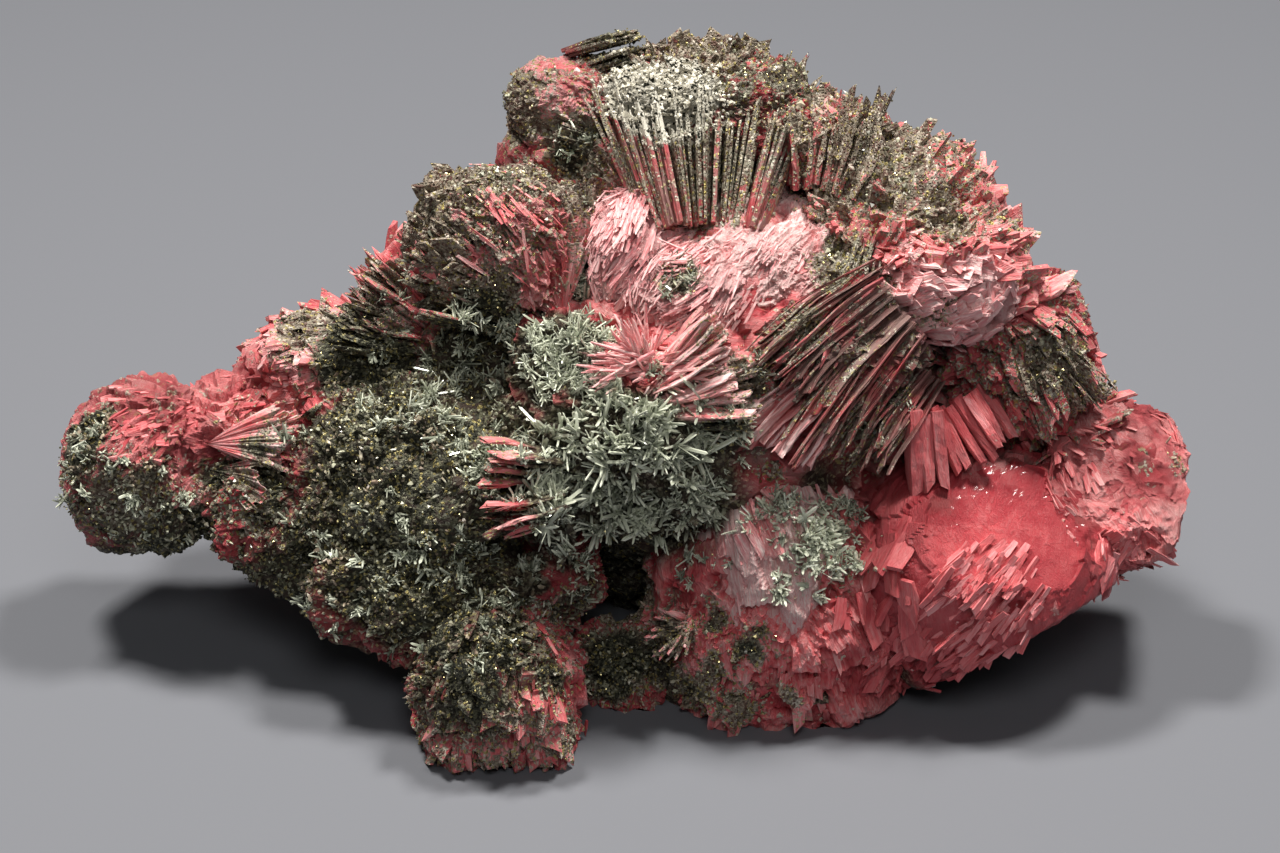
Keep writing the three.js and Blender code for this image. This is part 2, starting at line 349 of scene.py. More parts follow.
def quartz_material():
    """Grey-green glassy needles, darker at the foot by painted shade and pale at the tip, cloudy, so only a
    little see-through.
    """
    n = Nodes("quartz")
    colour = n.mix(n.ramp(n.attribute("tint"), 0, 1), *QUARTZ_TINTS)
    return n.set(Base_Color=colour, Roughness=0.20, Transmission_Weight=0.08, IOR=1.54)


def stub_material():
    """Grey-green and olive crystal stubs, with patches of brown and of beige."""
    n = Nodes("grey_green_stubs")
    place = n.place()
    colour = n.mix(n.ramp(n.attribute("tint"), 0, 1), *STUB_TINTS)
    colour = n.mix(n.ramp(n.noise(place, 160, 2), 0.48, 0.72, 0, 0.6), colour, STUB_BROWN)
    colour = n.mix(n.ramp(n.noise(place, 70, 2), 0.52, 0.66, 0, 0.55), colour, STUB_BEIGE)
    return n.set(Base_Color=colour, Roughness=n.ramp(n.noise(place, 700), 0.3, 0.7, 0.2, 0.5),
                 Specular_IOR_Level=0.6)


def pyrite_material():
    """Brassy metal, from dark olive to pale gold from grain to grain."""
    n = Nodes("pyrite")
    colour = n.mix(n.ramp(n.attribute("tint"), 0.1, 0.9), *PYRITE_TINTS)
    return n.set(Base_Color=colour, Metallic=0.9, Roughness=0.30)


def cream_material():
    """Matt cream grains with dark specks."""
    n = Nodes("cream")
    colour = n.mix(n.ramp(n.attribute("tint"), 0, 1), *CREAM_TINTS)
    colour = n.mix(n.ramp(n.noise(n.place(), 1300, 1), 0.62, 0.66), colour, DARK_SPECK)
    return n.set(Base_Color=colour, Roughness=0.8)


pink = rhodonite_material("rhodonite")
glossy_pink = rhodonite_material("rhodonite_glossy", 0.40, 0.30, 0.45)
needle_quartz = quartz_material()
stub_quartz = stub_material()
pyrite = pyrite_material()
cream = cream_material()

# ---------------------------------------- overgrowth

# Where small crystals grow on the rock: middle (three numbers), reach, then how thickly needles, stubs,
# grains and pyrite grow.
GROWTH = np.array([
    # left flank, all of it
    (-48, -16, 56, 25, 0.1, 0.9, 0.7, 0.35), (-64, -10, 24, 30, 0, 0.9, 0.6, 0.25),
    (-84, -4, 30, 20, 0, 0.7, 0.8, 0.2), (-32, -44, 16, 20, 0, 0.7, 0.3, 0.3),
    # ledge, all of it
    (-44, -28, 38, 27, 0.12, 0.9, 0.5, 0.45), (-26, -20, 56, 17, 0.4, 0.8, 0.3, 0.2),
    (-30, 0, 70, 17, 0.4, 0.6, 0.5, 0.2), (-56, 4, 68, 15, 0.1, 0.7, 0.9, 0.4),
    (-60, -12, 30, 24, 0, 0.6, 0.8, 0.3), (0, -26, 56, 26, 0.8, 0.6, 0.1, 0.1),
    (-28, -44, 24, 17, 0, 0.7, 0.3, 0.5), (-30, 10, 98, 20, 0, 0.1, 0.6, 0.2),
    (54, 16, 108, 22, 0, 0.15, 0.55, 0.5), (20, 34, 116, 24, 0, 0.2, 0.6, 0.25),
    # nose
    (2, -30, 58, 22, 1, 0.5, 0, 0.15), (2, -30, 44, 12, 0.8, 0.6, 0, 0.2), (0, -36, 72, 12, 1, 0.3, 0, 0.1),
    (-13, -14, 78, 13, 1, 0.3, 0, 0.1), (-12, 6, 82, 8, 1, 0.3, 0, 0.1),
    (20, -28, 68, 8, 0.6, 0.6, 0.3, 0.6),
    # left of the nose
    (-31, -3, 76, 12, 0.8, 0.4, 0, 0.1), (-27, -2, 88, 6.5, 0, 0.5, 0.6, 4),
    # shoulder rosette
    (-30, 8, 106, 10, 0, 0.1, 1, 0.3), (-22, 10, 109, 10, 0, 0.2, 1, 0.2), (-38, 4, 101, 9, 0, 0.1, 1, 0.3),
    (-12, 12, 106, 8, 0.1, 0.2, 1, 0.2), (-36, 2, 96, 8, 0, 0, 0.6, 0.2),
    # top
    (-2, 38, 126, 9, 0, 0, 0.5, 1.6), (-24, 32, 112, 9, 0, 0.3, 1, 0.3), (-16, 32, 116, 5, 0, 0.4, 1, 0.3),
    (-10, 26, 106, 9, 0.3, 0.3, 0.9, 0.1), (-5, 20, 93, 7, 0.6, 0.3, 0.5, 0),
    # behind and between the blades of the upper fan
    (17, 18, 98, 16, 0, 0.7, 0.8, 0.2),
    # crust of the upper fan
    (18, 34, 121, 14, 0, 0.4, 1, 0.1), (34, 30, 117, 12, 0, 0.5, 0.8, 0.6),
    (36, 20, 112, 8, 0, 0.3, 1, 0.4),
    # crest
    (44, 33, 112, 9, 0, 0.3, 0.3, 0.9), (49, 15, 112, 9, 0, 0.4, 0.5, 0.9),
    (57, 24, 120, 8, 0, 0.2, 0.5, 1), (64, 18, 118, 8, 0, 0.2, 0.5, 1.3), (57, 9, 112, 8, 0, 0.4, 0.6, 0.9),
    (65, 6, 109, 7, 0, 0.1, 0.4, 0.5), (74, 11, 111, 7, 0, 0.1, 0.3, 0.5),
    (64, 2, 102, 8, 0, 0.3, 0.8, 1.1), (80, 4, 100, 8, 0, 0.3, 0.5, 0.6), (78, -2, 90, 6, 0, 0.3, 0.6, 0.6),
    # dome
    (26, 8, 101, 3.5, 0, 0.2, 0.7, 0), (12, -8, 93, 5, 0.2, 0.2, 1.2, 0.3), (44, -4, 94, 7, 0, 0.4, 1, 1),
    (50, -10, 88, 6, 0, 0.3, 0.8, 0.8), (45, 10, 101, 6, 0, 0.2, 0.9, 0.6),
    (36, -17, 89, 5, 0, 0.6, 1.3, 0.2), (26, -20, 78, 7, 0.1, 0.4, 0.6, 0.9),
    (63, -11, 88, 5, 0, 0.1, 0.6, 0.2), (54, -12, 68, 7, 0.1, 0.4, 0.8, 0.2),
    # right flank
    (89, -8, 73, 9, 0, 0.3, 0.8, 1.1), (81, 2, 74, 10, 0, 0.2, 0.8, 0.5), (98, -8, 65, 7, 0, 0.1, 0.6, 0.4),
    (119, -10, 50, 5, 0, 0.1, 0.6, 0.2),
    # pink slab
    (31, -28, 57, 5, 0, 0.3, 0.4, 1.2), (37, -30, 50, 9, 0.8, 0.9, 0.3, 0.2),
    (43, -32, 44, 12, 1, 1, 0.3, 0.15), (38, -38, 39, 8, 0.8, 0.8, 0.2, 0.1),
    (46, -22, 62, 8, 0, 0.6, 0.3, 0.2), (60, -14, 62, 7, 0, 0.6, 0.5, 0.1),
    # middle foot
    (17, -38, 28, 6, 0, 0.6, 0.7, 1.5), (28, -41, 24, 5.5, 0, 0.8, 0.7, 1.6),
    (9, -34, 22, 7, 0, 0.6, 0.8, 1.3), (19, -39, 15, 6, 0, 0.5, 0.7, 1.3),
    (33, -42, 13, 5, 0, 0.3, 0.7, 1.3), (-3, -29, 10, 10, 0, 1, 0.9, 0.8),
    (-30, -48, 6, 8, 0, 0.5, 0.6, 0.5), (-14, -46, 8, 6, 0, 0.5, 0.6, 0.6),
    (6, -30, 12, 8, 0, 0.7, 0.8, 0.9), (13, -36, 8, 8, 0, 0.7, 0.8, 0.9), (24, -41, 6, 6, 0, 0.4, 0.8, 0.9),
    (3, -10, 20, 16, 0, 0.2, 0.9, 0.2), (-12, -24, 26, 12, 0.1, 0.5, 0.7, 0.2),
    # knob of the arm
    (-106, -12, 41, 13, 0.5, 2.6, 0.8, 0.25), (-114, -5, 50, 9, 0.3, 2, 0.6, 0.4),
    (-98, -14, 32, 10, 0.4, 2.2, 0.5, 0.1), (-112, -9, 36, 10, 0.2, 0.9, 0.4, 0.5),
    (-116, -2, 36, 8, 0, 0.4, 0.5, 0.9), (-96, -12, 34, 8, 0.3, 0.6, 0.4, 0.1),
    (-100, -2, 27, 13, 0, 0.2, 1, 0.2), (-88, -9, 47, 4.5, 0, 1, 0.2, 0.1),
    # arm
    (-77, -14, 56, 5, 0.2, 0.4, 0.8, 0.1), (-76, -14, 47, 5, 0.3, 0.5, 0.8, 0.1),
    (-68, -10, 61, 6, 0.5, 0.5, 0.2, 0.1), (-70, 11, 71, 9, 0, 0.4, 1, 0.6),
    (-50, 12, 84, 7, 0, 0.1, 0.7, 0.2), (-43, 2, 82, 8, 0.2, 0.4, 0.8, 0.2),
    (-80, -12, 42, 12, 0, 0.3, 1, 0.3), (-88, -6, 34, 12, 0, 0.2, 1, 0.2),
    # left flank
    (-61, 2, 67, 8, 0.1, 1, 0.8, 0.4), (-52, 3, 68, 9, 0.1, 1, 0.6, 0.4),
    (-57, -15, 63, 9, 0.1, 1, 0.3, 0.5), (-46, -17, 64, 9, 0.3, 1, 0.3, 0.3),
    (-36, -18, 66, 9, 0.5, 0.8, 0.2, 0.2), (-53, -26, 53, 9, 0.1, 0.9, 0.3, 0.4),
    (-40, -20, 58, 12, 0.2, 0.8, 0.5, 0.2),
    # ledge
    (-62, -22, 42, 9, 0.1, 0.9, 0.5, 0.5), (-51, -32, 39, 9, 0.1, 1, 0.3, 1.1),
    (-41, -31, 43, 10, 0.4, 1, 0.2, 0.5), (-30, -36, 43, 10, 0.6, 0.9, 0.1, 0.2),
    (-20, -34, 40, 9, 0.6, 0.8, 0.1, 0.1), (-42, -36, 33, 9, 0.1, 1, 0.3, 1.1),
    (-54, -28, 30, 12, 0, 0.8, 0.7, 0.4),
    # front foot
    (-36, -45, 28, 8, 0, 1.1, 0.2, 1), (-26, -49, 32, 8, 0, 1.1, 0.2, 1.3),
    (-30, -50, 22, 12, 0, 1, 0.1, 0.6), (-44, -50, 24, 7, 0, 0.8, 0.3, 0.5),
    (-16, -48, 22, 8, 0, 0.7, 0.4, 0.4), (-26, -53, 16, 8, 0, 0.5, 0.3, 0.5),
    (-38, -50, 16, 8, 0, 0.5, 0.4, 0.3),
    # back
    (10, 50, 66, 24, 0, 0.2, 0.5, 0.2), (-42, 42, 52, 20, 0.2, 0.4, 0.6, 0.2),
    (80, 38, 52, 16, 0, 0.1, 0.4, 0.3), (30, 46, 28, 18, 0.3, 0.5, 0.4, 0.1),
])
NEEDLES, STUBS, GRAINS, PYRITE = range(4)


def growth(places):
    """How thickly each kind grows at each place: the most that any spot gives, fading towards its reach.
    """
    wander = 2.2 * noises(places, 7, 21) + 1.6 * noises(places, 3, 24)
    best = np.zeros((len(places), 4))
    for row in GROWTH:
        away = distance(places + wander, row[:3]) / row[3]
        best = np.maximum(best, np.clip(1.6 * (1.1 - away), 0, 1)[:, None] * row[4:])
    return best


PATCHES = {kind: [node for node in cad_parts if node.startswith(kind)]
           for kind in ("quartz_druse", "pyrite_crust")}


def patch_depth(node, places):
    """How deep in a patch's own ellipsoid each place is: 1 in the middle, 0 at its skin, less outside."""
    low, high = (np.array(v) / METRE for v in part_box(node))
    return 1 - np.linalg.norm((places - (low + high) / 2) / ((high - low) / 2), axis=-1)


# Where the small crystals are paler and let more of the pink show through: middle, reach and by how much.
GLASSY = [((-107, -10, 42), 16, 0.65), ((42, -34, 44), 16, 0.95), ((0, -26, 70), 16, 0.15)]


def glassy(places):
    """How much paler the small crystals are at each place."""
    return np.max([amount * np.clip(1.4 - distance(places, middle) / reach, 0, 1)
                   for middle, reach, amount in GLASSY], 0)


def overgrown(made, own_dust=0.0):
    """Sets the dust, bed and crust values of a made piece by what grows on it, on top of its own dust."""
    thick = growth(made["points"])
    values = made["values"]
    values["crust"] = np.clip(patch_depth("pale_crust_top_fan", made["points"]) * 2.5 + 0.5, 0, 1)
    # The ground under needles and stubs, near black as painted shade between the crystals, less where they
    # grow glassy.
    bed = np.clip(thick[:, NEEDLES] + 0.8 * thick[:, STUBS], 0, 1) * (1 - glassy(made["points"]))
    values["bed"] = np.maximum(values.get("bed", 0), bed)
    values["dust"] = values.get("dust", 0) + own_dust + 0.8 * thick[:, GRAINS] + 0.3 * thick[:, PYRITE]
    return made


rock = []


def put_rock(name, made, material=pink, own_dust=0.0):
    """A piece of pink rock with what grows on it. The small crystals find its skin in rock."""
    put(name, overgrown(made, own_dust), material, "rhodonite")
    rock.append(made)


# ---------------------------------------- shapes of crystals


def tubes(points, values):
    """Closed tubes from points by tube, ring and place on the ring: side quads and two flat ends."""
    count, stations, ring = points.shape[:3]
    first = np.arange(count)[:, None, None] * stations * ring
    row = np.arange(stations - 1)[None, :, None] * ring
    here = np.arange(ring)[None, None, :]
    there = (here + 1) % ring
    low, high = first + row, first + row + ring
    sides = np.stack([low + here, low + there, high + there, high + here], -1)
    start = first[:, 0] + np.arange(ring)[None, ::-1]
    end = first[:, 0] + (stations - 1) * ring + np.arange(ring)[None, :]
    return {
        "points": points.reshape(-1, 3),
        "faces": [sides.reshape(-1, 4), start, end],
        "values": {key: v.reshape(-1, 3) if v.ndim == 4 else v.ravel() for key, v in values.items()},
    }


def closed_grid(rings, columns, falling=False):
    """Faces of a ball: quads between rings of points, and triangles round the point at each end, whose
    numbers come after those of the rings. The rings go up, or down from the top when falling.
    """
    row = np.arange(rings - 1)[:, None] * columns
    here = np.arange(columns)[None, :]
    there = (here + 1) % columns
    if falling:
        here, there = there, here
    quads = np.stack([row + here, row + there, row + columns + there, row + columns + here], -1)
    end, last = rings * columns, (rings - 1) * columns
    low = np.stack([np.full(columns, end), there[0], here[0]], -1)
    high = np.stack([np.full(columns, end + 1), last + here[0], last + there[0]], -1)
    return [quads.reshape(-1, 4), low, high]


GRAIN_SHIFT = 400  # how far apart, at most, single crystals lie in the space of their streaks
LEAF_COLUMNS, LEAF_ROWS, LEAF_TEETH = 31, 7, 14
INSIDE = 0.9999  # keeps the last column of a leaf in its last tooth
PRISM_SIDES = 4

# Sections of the blades, in half widths and half thicknesses.
LEAF_RING = np.array([[1, 0], [0.55, 1], [-0.55, 1], [-1, 0], [-0.55, -1], [0.55, -1]])
PLATE_RING = np.array([[1, 0.9], [-0.93, 1], [-1, -0.9], [0.93, -1]])
SLAB_RING = np.array([[1, 0.5], [0.86, 1], [-0.86, 1], [-1, 0.5],
                      [-1, -0.5], [-0.86, -1], [0.86, -1], [1, -0.5]])
FLAKE_RING = np.array([[1, 0.6], [-0.9, 1], [-1, -0.6], [0.9, -1]])


def blades(root, along, flat, length, width, thick, bend, tint, dust, jag, stations, root_width=0.8,
           tip_width=0.8, ragged=0.06, ring=SLAB_RING, wave=0.0, pale_edge=1.0, dust_root=0.2):
    """Flattened crystals. The section, given by ring, is root_width times its full width at the root,
    full in the middle and tip_width times that at the end, which is cut off on a slant. The middle line
    leaves the flat face by bend times the length times the square of the way along, and swings by up to
    wave mm on its way. Ragged and jag roughen the sides and the cut end. One entry of each array for each
    blade.
    """
    count = len(root)
    across = np.cross(along, flat)
    s = np.linspace(0, 1, stations)[None, :, None]
    length, width, thick = per(length, count), per(width, count), per(thick, count)
    profile = np.interp(s, [0, 0.3, 0.8, 1], [root_width, 1.0, 0.5 + 0.5 * tip_width, tip_width])
    thinning = np.interp(s, [0, 0.7, 1], [1, 0.95, 0.4 + 0.3 * tip_width])
    shape = (count, stations, len(ring))
    wide = width / 2 * profile * ring[:, 0] * (1 + ragged * random.normal(0, 1, shape))
    deep = thick / 2 * thinning * ring[:, 1] * (1 + 0.5 * ragged * random.normal(0, 1, shape))
    slant = random.uniform(-0.9, 0.9, (count, 1, 1)) * wide * (s > 0.95)
    reach = s * length + slant + random.normal(0, 1, shape) * jag * width * (s > 0.5)
    phase = random.uniform(0, 2 * math.pi, (count, 1, 1))
    lift = per(bend, count) * s ** 2 * length + deep + wave * s * (np.sin(phase + 6 * s) - np.sin(phase))
    points = (root[:, None, None] + along[:, None, None] * reach[..., None]
              + across[:, None, None] * wide[..., None] + flat[:, None, None] * lift[..., None])
    ones = np.ones(shape)
    offset = random.uniform(-GRAIN_SHIFT, GRAIN_SHIFT, (count, 1, 1, 3))
    values = {
        "grain": np.stack([reach, wide, deep], -1) + offset,
        "edge": pale_edge * np.abs(ring[:, 0]) ** 3 * np.interp(s, [0, 0.6, 1], [0.3, 0.7, 1]) * ones,
        "dust": per(dust, count) * np.interp(s, [0, 1], [dust_root, 1.2]) * ones,
        "tint": per(tint, count) * ones,
        "bed": 0 * ones,
    }
    return tubes(points, values)


def petals(apex, axis, across, long, opening, thick, cup, tint, dust):
    """Thin fan-shaped leaves. A point at share s of the way out and share t (-1 to 1) of the half opening
    lies at s times the rim's distance along the direction turned by t. The rim is toothed, a random step
    for each tooth, ridges run from the apex outward, and the leaf bends off its plane by cup times s
    squared. The upper and the under face make one ring for each t, so that the rings join to a closed
    tube.
    """
    count = len(apex)
    deep = np.cross(across, axis)
    t = np.linspace(-1, 1, LEAF_COLUMNS)[None, :, None]
    s = np.concatenate([np.linspace(0.04, 1, LEAF_ROWS), np.linspace(1, 0.04, LEAF_ROWS)])[None, None, :]
    upper = np.array([1.0] * LEAF_ROWS + [-1.0] * LEAF_ROWS)
    angle = t * per(np.radians(opening), count) / 2
    number = np.floor((t + 1) / 2 * LEAF_TEETH * INSIDE).astype(int)[0, :, 0]
    step = random.uniform(0, 1, (count, LEAF_TEETH + 1))
    within = np.mod(np.linspace(0, 1, LEAF_COLUMNS) * LEAF_TEETH * INSIDE, 1)
    rim = 1 - 0.22 * step[:, number] - 0.06 * np.abs(within - 0.5)
    rim = (rim * (1 - 0.12 * np.linspace(-1, 1, LEAF_COLUMNS) ** 2))[:, :, None]
    length = per(long, count)
    reach = s * rim * length
    ridge = random.normal(0, 1, (count, LEAF_COLUMNS, 1)) * np.interp(s, [0, 0.3, 1], [0.1, 0.5, 1]) * 0.30
    lift = per(thick, count) * (upper * 0.5 * np.interp(s, [0, 0.8, 1], [1, 0.8, 0.35]) + ridge)
    lift = lift + per(cup, count) * s ** 2 * length
    lift = lift + random.normal(0, 0.04, lift.shape)
    ahead = (axis[:, None, None] * np.cos(angle)[..., None]
             + across[:, None, None] * np.sin(angle)[..., None])
    points = apex[:, None, None] + ahead * reach[..., None] + deep[:, None, None] * lift[..., None]
    ones = np.ones(points.shape[:3])
    offset = random.uniform(-GRAIN_SHIFT, GRAIN_SHIFT, (count, 1, 1, 3))
    arc = angle * length
    values = {
        "grain": np.stack([reach, arc * ones, upper * ones], -1) + offset,
        "edge": np.interp(s, [0, 0.8, 1], [0, 0.2, 0.9]) * ones,
        "dust": per(dust, count) * np.interp(s, [0, 0.35, 0.7, 1], [0.0, 0.25, 1.0, 1.2]) * ones,
        "tint": per(tint, count) * ones + 0.15 * random.normal(0, 1, (count, LEAF_COLUMNS, 1)) * ones,
        "bed": 0 * ones,
    }
    return tubes(points, values)


def prisms(root, along, length, radius, tint, flatness=0.5):
    """Crystals with PRISM_SIDES sides that narrow a little and end in a pointed cap, closed by a flat base.
    One way across is thinner than the other, by up to flatness.
    """
    count = len(root)
    corner = np.arange(PRISM_SIDES)[None, :]
    turn = random.uniform(0, 2 * math.pi, (count, 1)) + corner * 2 * math.pi / PRISM_SIDES
    first = side_of(along, unit(scatter(count)))
    second = np.cross(along, first) * random.uniform(1 - flatness, 1, (count, 1))
    rim = first[:, None, :] * np.cos(turn)[..., None] + second[:, None, :] * np.sin(turn)[..., None]
    length, radius = length[:, None, None], radius[:, None, None]
    cap = np.minimum(length * 0.3, radius * random.uniform(0.8, 2.2, (count, 1, 1)))
    base = root[:, None, :] + rim * radius
    shoulder = root[:, None, :] + along[:, None, :] * (length - cap) + rim * radius * 0.86
    point = root[:, None, :] + along[:, None, :] * length
    points = np.concatenate([base, shoulder, point], 1)
    first_point = np.arange(count)[:, None] * (2 * PRISM_SIDES + 1)
    here = first_point + corner
    there = first_point + (corner + 1) % PRISM_SIDES
    tip = np.broadcast_to(first_point + 2 * PRISM_SIDES, here.shape)
    walls = np.stack([here, there, there + PRISM_SIDES, here + PRISM_SIDES], -1)
    caps = np.stack([here + PRISM_SIDES, there + PRISM_SIDES, tip], -1)
    # Painted shade: the ring at the base takes 0.4 of the tint, so each crystal darkens towards its foot,
    # where shade falls among crowded crystals.
    shade = np.array([0.4] * PRISM_SIDES + [1.0] * (PRISM_SIDES + 1))
    return {
        "points": points.reshape(-1, 3),
        "faces": [walls.reshape(-1, 4), caps.reshape(-1, 3), here[:, ::-1]],
        "values": {"tint": (tint[:, None] * shade).ravel()},
    }


DIAMOND = np.array([[1, 0, 0], [-1, 0, 0], [0, 1, 0], [0, -1, 0], [0, 0, 1], [0, 0, -1]], float)
DIAMOND_FACES = np.array([[0, 2, 4], [2, 1, 4], [1, 3, 4], [3, 0, 4],
                          [2, 0, 5], [1, 2, 5], [3, 1, 5], [0, 3, 5]])


def grains(centre, size, tint):
    """Small eight-faced solids, each turned at random, stretched a little and scaled to its own size."""
    count = len(centre)
    x = unit(scatter(count))
    y = side_of(x, unit(scatter(count)))
    turned = np.stack([x, y, np.cross(x, y)], 1)
    local = DIAMOND[None] * random.uniform(0.75, 1.25, (count, 1, 3)) * size[:, None, None] / 2
    points = centre[:, None, :] + np.einsum("nij,njk->nik", local, turned)
    faces = np.arange(count)[:, None, None] * len(DIAMOND) + DIAMOND_FACES[None]
    return {
        "points": points.reshape(-1, 3),
        "faces": [faces.reshape(-1, 3)],
        "values": {"tint": np.repeat(tint, len(DIAMOND))},
    }


# ---------------------------------------- body

VOXEL = 1.4
LUMP_RINGS = 22
LUMP_COLUMNS = 40

# Lumps of massive rhodonite, as in the frame: centre, half-sizes and a turn about Z in degrees.
LUMPS = [
    ((20, 8, 55), (46, 34, 40), 0),  # heart
    ((28, 10, 76), (36, 27, 26), 10),  # bright upper dome
    ((58, 18, 82), (25, 23, 30), 0),  # crest
    ((14, 34, 94), (36, 16, 24), 0),  # top, at the back
    ((-10, 34, 92), (20, 15, 20), 0),  # top left corner
    ((-26, 22, 68), (28, 22, 27), 0),  # left shoulder
    ((-58, 16, 50), (28, 20, 20), 0),  # root of the arm
    ((-84, 7, 40), (25, 16, 17), 0),  # arm
    ((-105, 4, 40), (16, 15, 20), 0),  # knob at the arm's end
    ((-38, -8, 45), (34, 24, 22), 0),  # left flank
    ((2, -12, 60), (22, 18, 22), 0),  # overhanging nose
    ((-38, -20, 28), (30, 18, 17), 0),  # ledge
    ((-26, -37, 9), (18, 17, 22), 0),  # front foot
    ((32, -18, 17), (30, 22, 36), 0),  # middle foot
    ((73, -15, 27), (31, 24, 27), -15),  # glossy round end
    ((103, -6, 41), (16, 15, 17), 0),  # right knob
    ((80, 12, 52), (20, 18, 24), 0),  # right flank
    ((16, 22, 28), (56, 29, 34), 0),  # back foot
    ((58, 24, 44), (32, 24, 34), 0),  # back, right
    ((-34, 26, 42), (34, 21, 28), 0),  # back, left
]
SUNK = 1.6  # how far the body lies below the masses that cover it
COVERED = (1, *range(7, 16))  # numbers of the lumps that masses cover

# Nuclei that the body's crystals radiate from, and the middle of the stretch of surface that each rules.
NUCLEI = [
    ((46, 12, 70), (66, -6, 92)), ((54, 12, 80), (60, 10, 108)), ((56, 0, 84), (78, 2, 98)),
    ((60, 4, 88), (90, -4, 66)), ((-10, 14, 84), (-36, 6, 96)), ((10, 30, 96), (-14, 30, 112)),
    ((18, 30, 90), (14, 34, 116)), ((-14, 12, 62), (-48, 8, 78)), ((-40, 14, 66), (-64, 10, 69)),
    ((-92, 6, 56), (-74, -10, 58)), ((30, -6, 40), (36, -38, 6)), ((6, 6, 40), (4, -8, 24)),
    ((16, 10, 50), (10, 52, 40)), ((-30, 10, 45), (-44, 44, 50)), ((60, 10, 55), (82, 40, 50)),
    ((30, 20, 60), (20, 50, 90)), ((60, 20, 70), (80, 34, 80)), ((-60, 20, 40), (-80, 22, 40)),
]
NUCLEUS, MIDDLE = (np.array([row[k] for row in NUCLEI], float) for k in (0, 1))


def turned_about_z(turn):
    """The matrix that turns rows of points by so many degrees about Z."""
    c, s = math.cos(math.radians(turn)), math.sin(math.radians(turn))
    return np.array([[c, s, 0], [-s, c, 0], [0, 0, 1]])


def merged_body():
    """The lumps as one closed skin: each is an ellipsoid on a grid of latitude and longitude, and
    together they are remeshed on a grid of VOXEL mm. Returns its points, quads and point normals.
    """
    up = np.linspace(-math.pi / 2, math.pi / 2, LUMP_RINGS + 2)[1:-1, None]
    east = np.linspace(0, 2 * math.pi, LUMP_COLUMNS, endpoint=False)[None, :]
    rings = np.stack([np.cos(up) * np.cos(east), np.cos(up) * np.sin(east), np.sin(up) + 0 * east], -1)
    ball = np.concatenate([rings.reshape(-1, 3), [[0, 0, -1], [0, 0, 1]]])
    halves = [np.array(row[1]) - SUNK * (k in COVERED) for k, row in enumerate(LUMPS)]
    points = np.concatenate([ball * half @ turned_about_z(turn) + centre
                             for half, (centre, _, turn) in zip(halves, LUMPS)])
    faces = closed_grid(LUMP_RINGS, LUMP_COLUMNS)
    faces = [f + k * len(ball) for k in range(len(LUMPS)) for f in faces]
    rough = put_mesh("lumps", points, faces)
    remesh = rough.modifiers.new("skin", "REMESH")
    remesh.mode = "VOXEL"
    remesh.voxel_size = VOXEL * METRE
    evaluated = rough.evaluated_get(bpy.context.evaluated_depsgraph_get())
    skin = bpy.data.objects.new("skin", bpy.data.meshes.new_from_object(evaluated))
    arrays = arrays_of(skin)
    bpy.data.objects.remove(rough)
    bpy.data.objects.remove(skin)
    return arrays


def from_nucleus(places, nucleus, start, long, wide):
    """Places in a space that is stretched so that a cell one unit across is long away from the nucleus
    and wide across, at the distance start. Also the distances and directions from the nucleus.
    """
    away = np.linalg.norm(places - nucleus, axis=-1)
    way = (places - nucleus) / away[:, None]
    return way * (start / wide + (away - start) / long)[:, None], away, way


def torn(places, normals, nucleus, start, long, wide, relief, salt=0.0):
    """How far a torn surface stands out: it breaks into shards that are long away from the nucleus and
    wide across; each stands a little higher or lower, rises along its run up to a step, and tips to one
    side.
    """
    stretched, away, way = from_nucleus(places, nucleus, start, long, wide)
    key, other, cell = shards(stretched + salt)
    cell_away = (np.linalg.norm(cell - salt, axis=-1) - start / wide) * long + start
    across = ((stretched + salt - cell) * np.cross(way, normals)).sum(-1) * wide
    rise = np.clip(away - cell_away, -long, long) / long
    lift = relief * (key * 2 - 1 + 1.3 * rise + across / wide * (other - 0.5) * 2.4)
    return lift, key, way


def nearest_nucleus(places):
    """For each place the nucleus whose stretch it lies in, with a ragged border."""
    ragged = places + 3.0 * noises(places, 8, 1)
    return np.linalg.norm(ragged[:, None, :] - MIDDLE[None], axis=-1).argmin(1)


# Flat broken faces: a direction, how far along it the face lies, the middle and reach of the part it
# cuts, and how rough the face is.
CUTS = [
    ((0.494, -0.474, -0.730), 41.5, (84, -22, 24), 46, 0.5),  # under the round end
    ((0.97, -0.15, -0.18), 109.0, (112, -8, 40), 26, 0.9),  # right knob: its end, top and front
    ((0.55, -0.10, 0.83), 106.0, (106, -6, 52), 24, 0.9),
    ((0.20, -0.60, 0.78), 66.5, (107, -14, 46), 20, 0.9),
    ((0.18, -0.57, 0.80), 66.0, (79, -30, 45), 17, 0.15),  # glossy front face of the round end
    ((-0.15, -0.80, 0.58), 58.0, (68, -36, 34), 12, 0.3),
]


def trimmed(places):
    """Places beyond a broken face, moved back to it. Its roughness keeps some of it."""
    uneven = noise(places, 3.5, 19) + 0.5 * noise(places, 1.3, 20)
    for way, offset, middle, reach, rough in CUTS:
        way = unit(np.array(way))
        near = distance(places, middle) < reach
        beyond = np.clip(places @ way - offset - rough * uneven, 0, None) * near
        places = places - way * beyond[:, None] * 0.9
    return places


points, quads, normals = merged_body()
own = nearest_nucleus(points)
from_there = NUCLEUS[own]
start = np.linalg.norm(MIDDLE[own] - from_there, axis=-1)
lift, key, way = torn(points, normals, from_there, start, 8.0, 3.4, 1.3, own[:, None] * 7.3)
run = side_of(normals, way)
turned = np.cross(run, normals)
lift = lift + 1.8 * noise(points, 11, 7) + 0.9 * noise(points, 5, 8)
body_points = trimmed(points + normals * lift[:, None])
body_points[:, 2] = np.maximum(body_points[:, 2], 0)
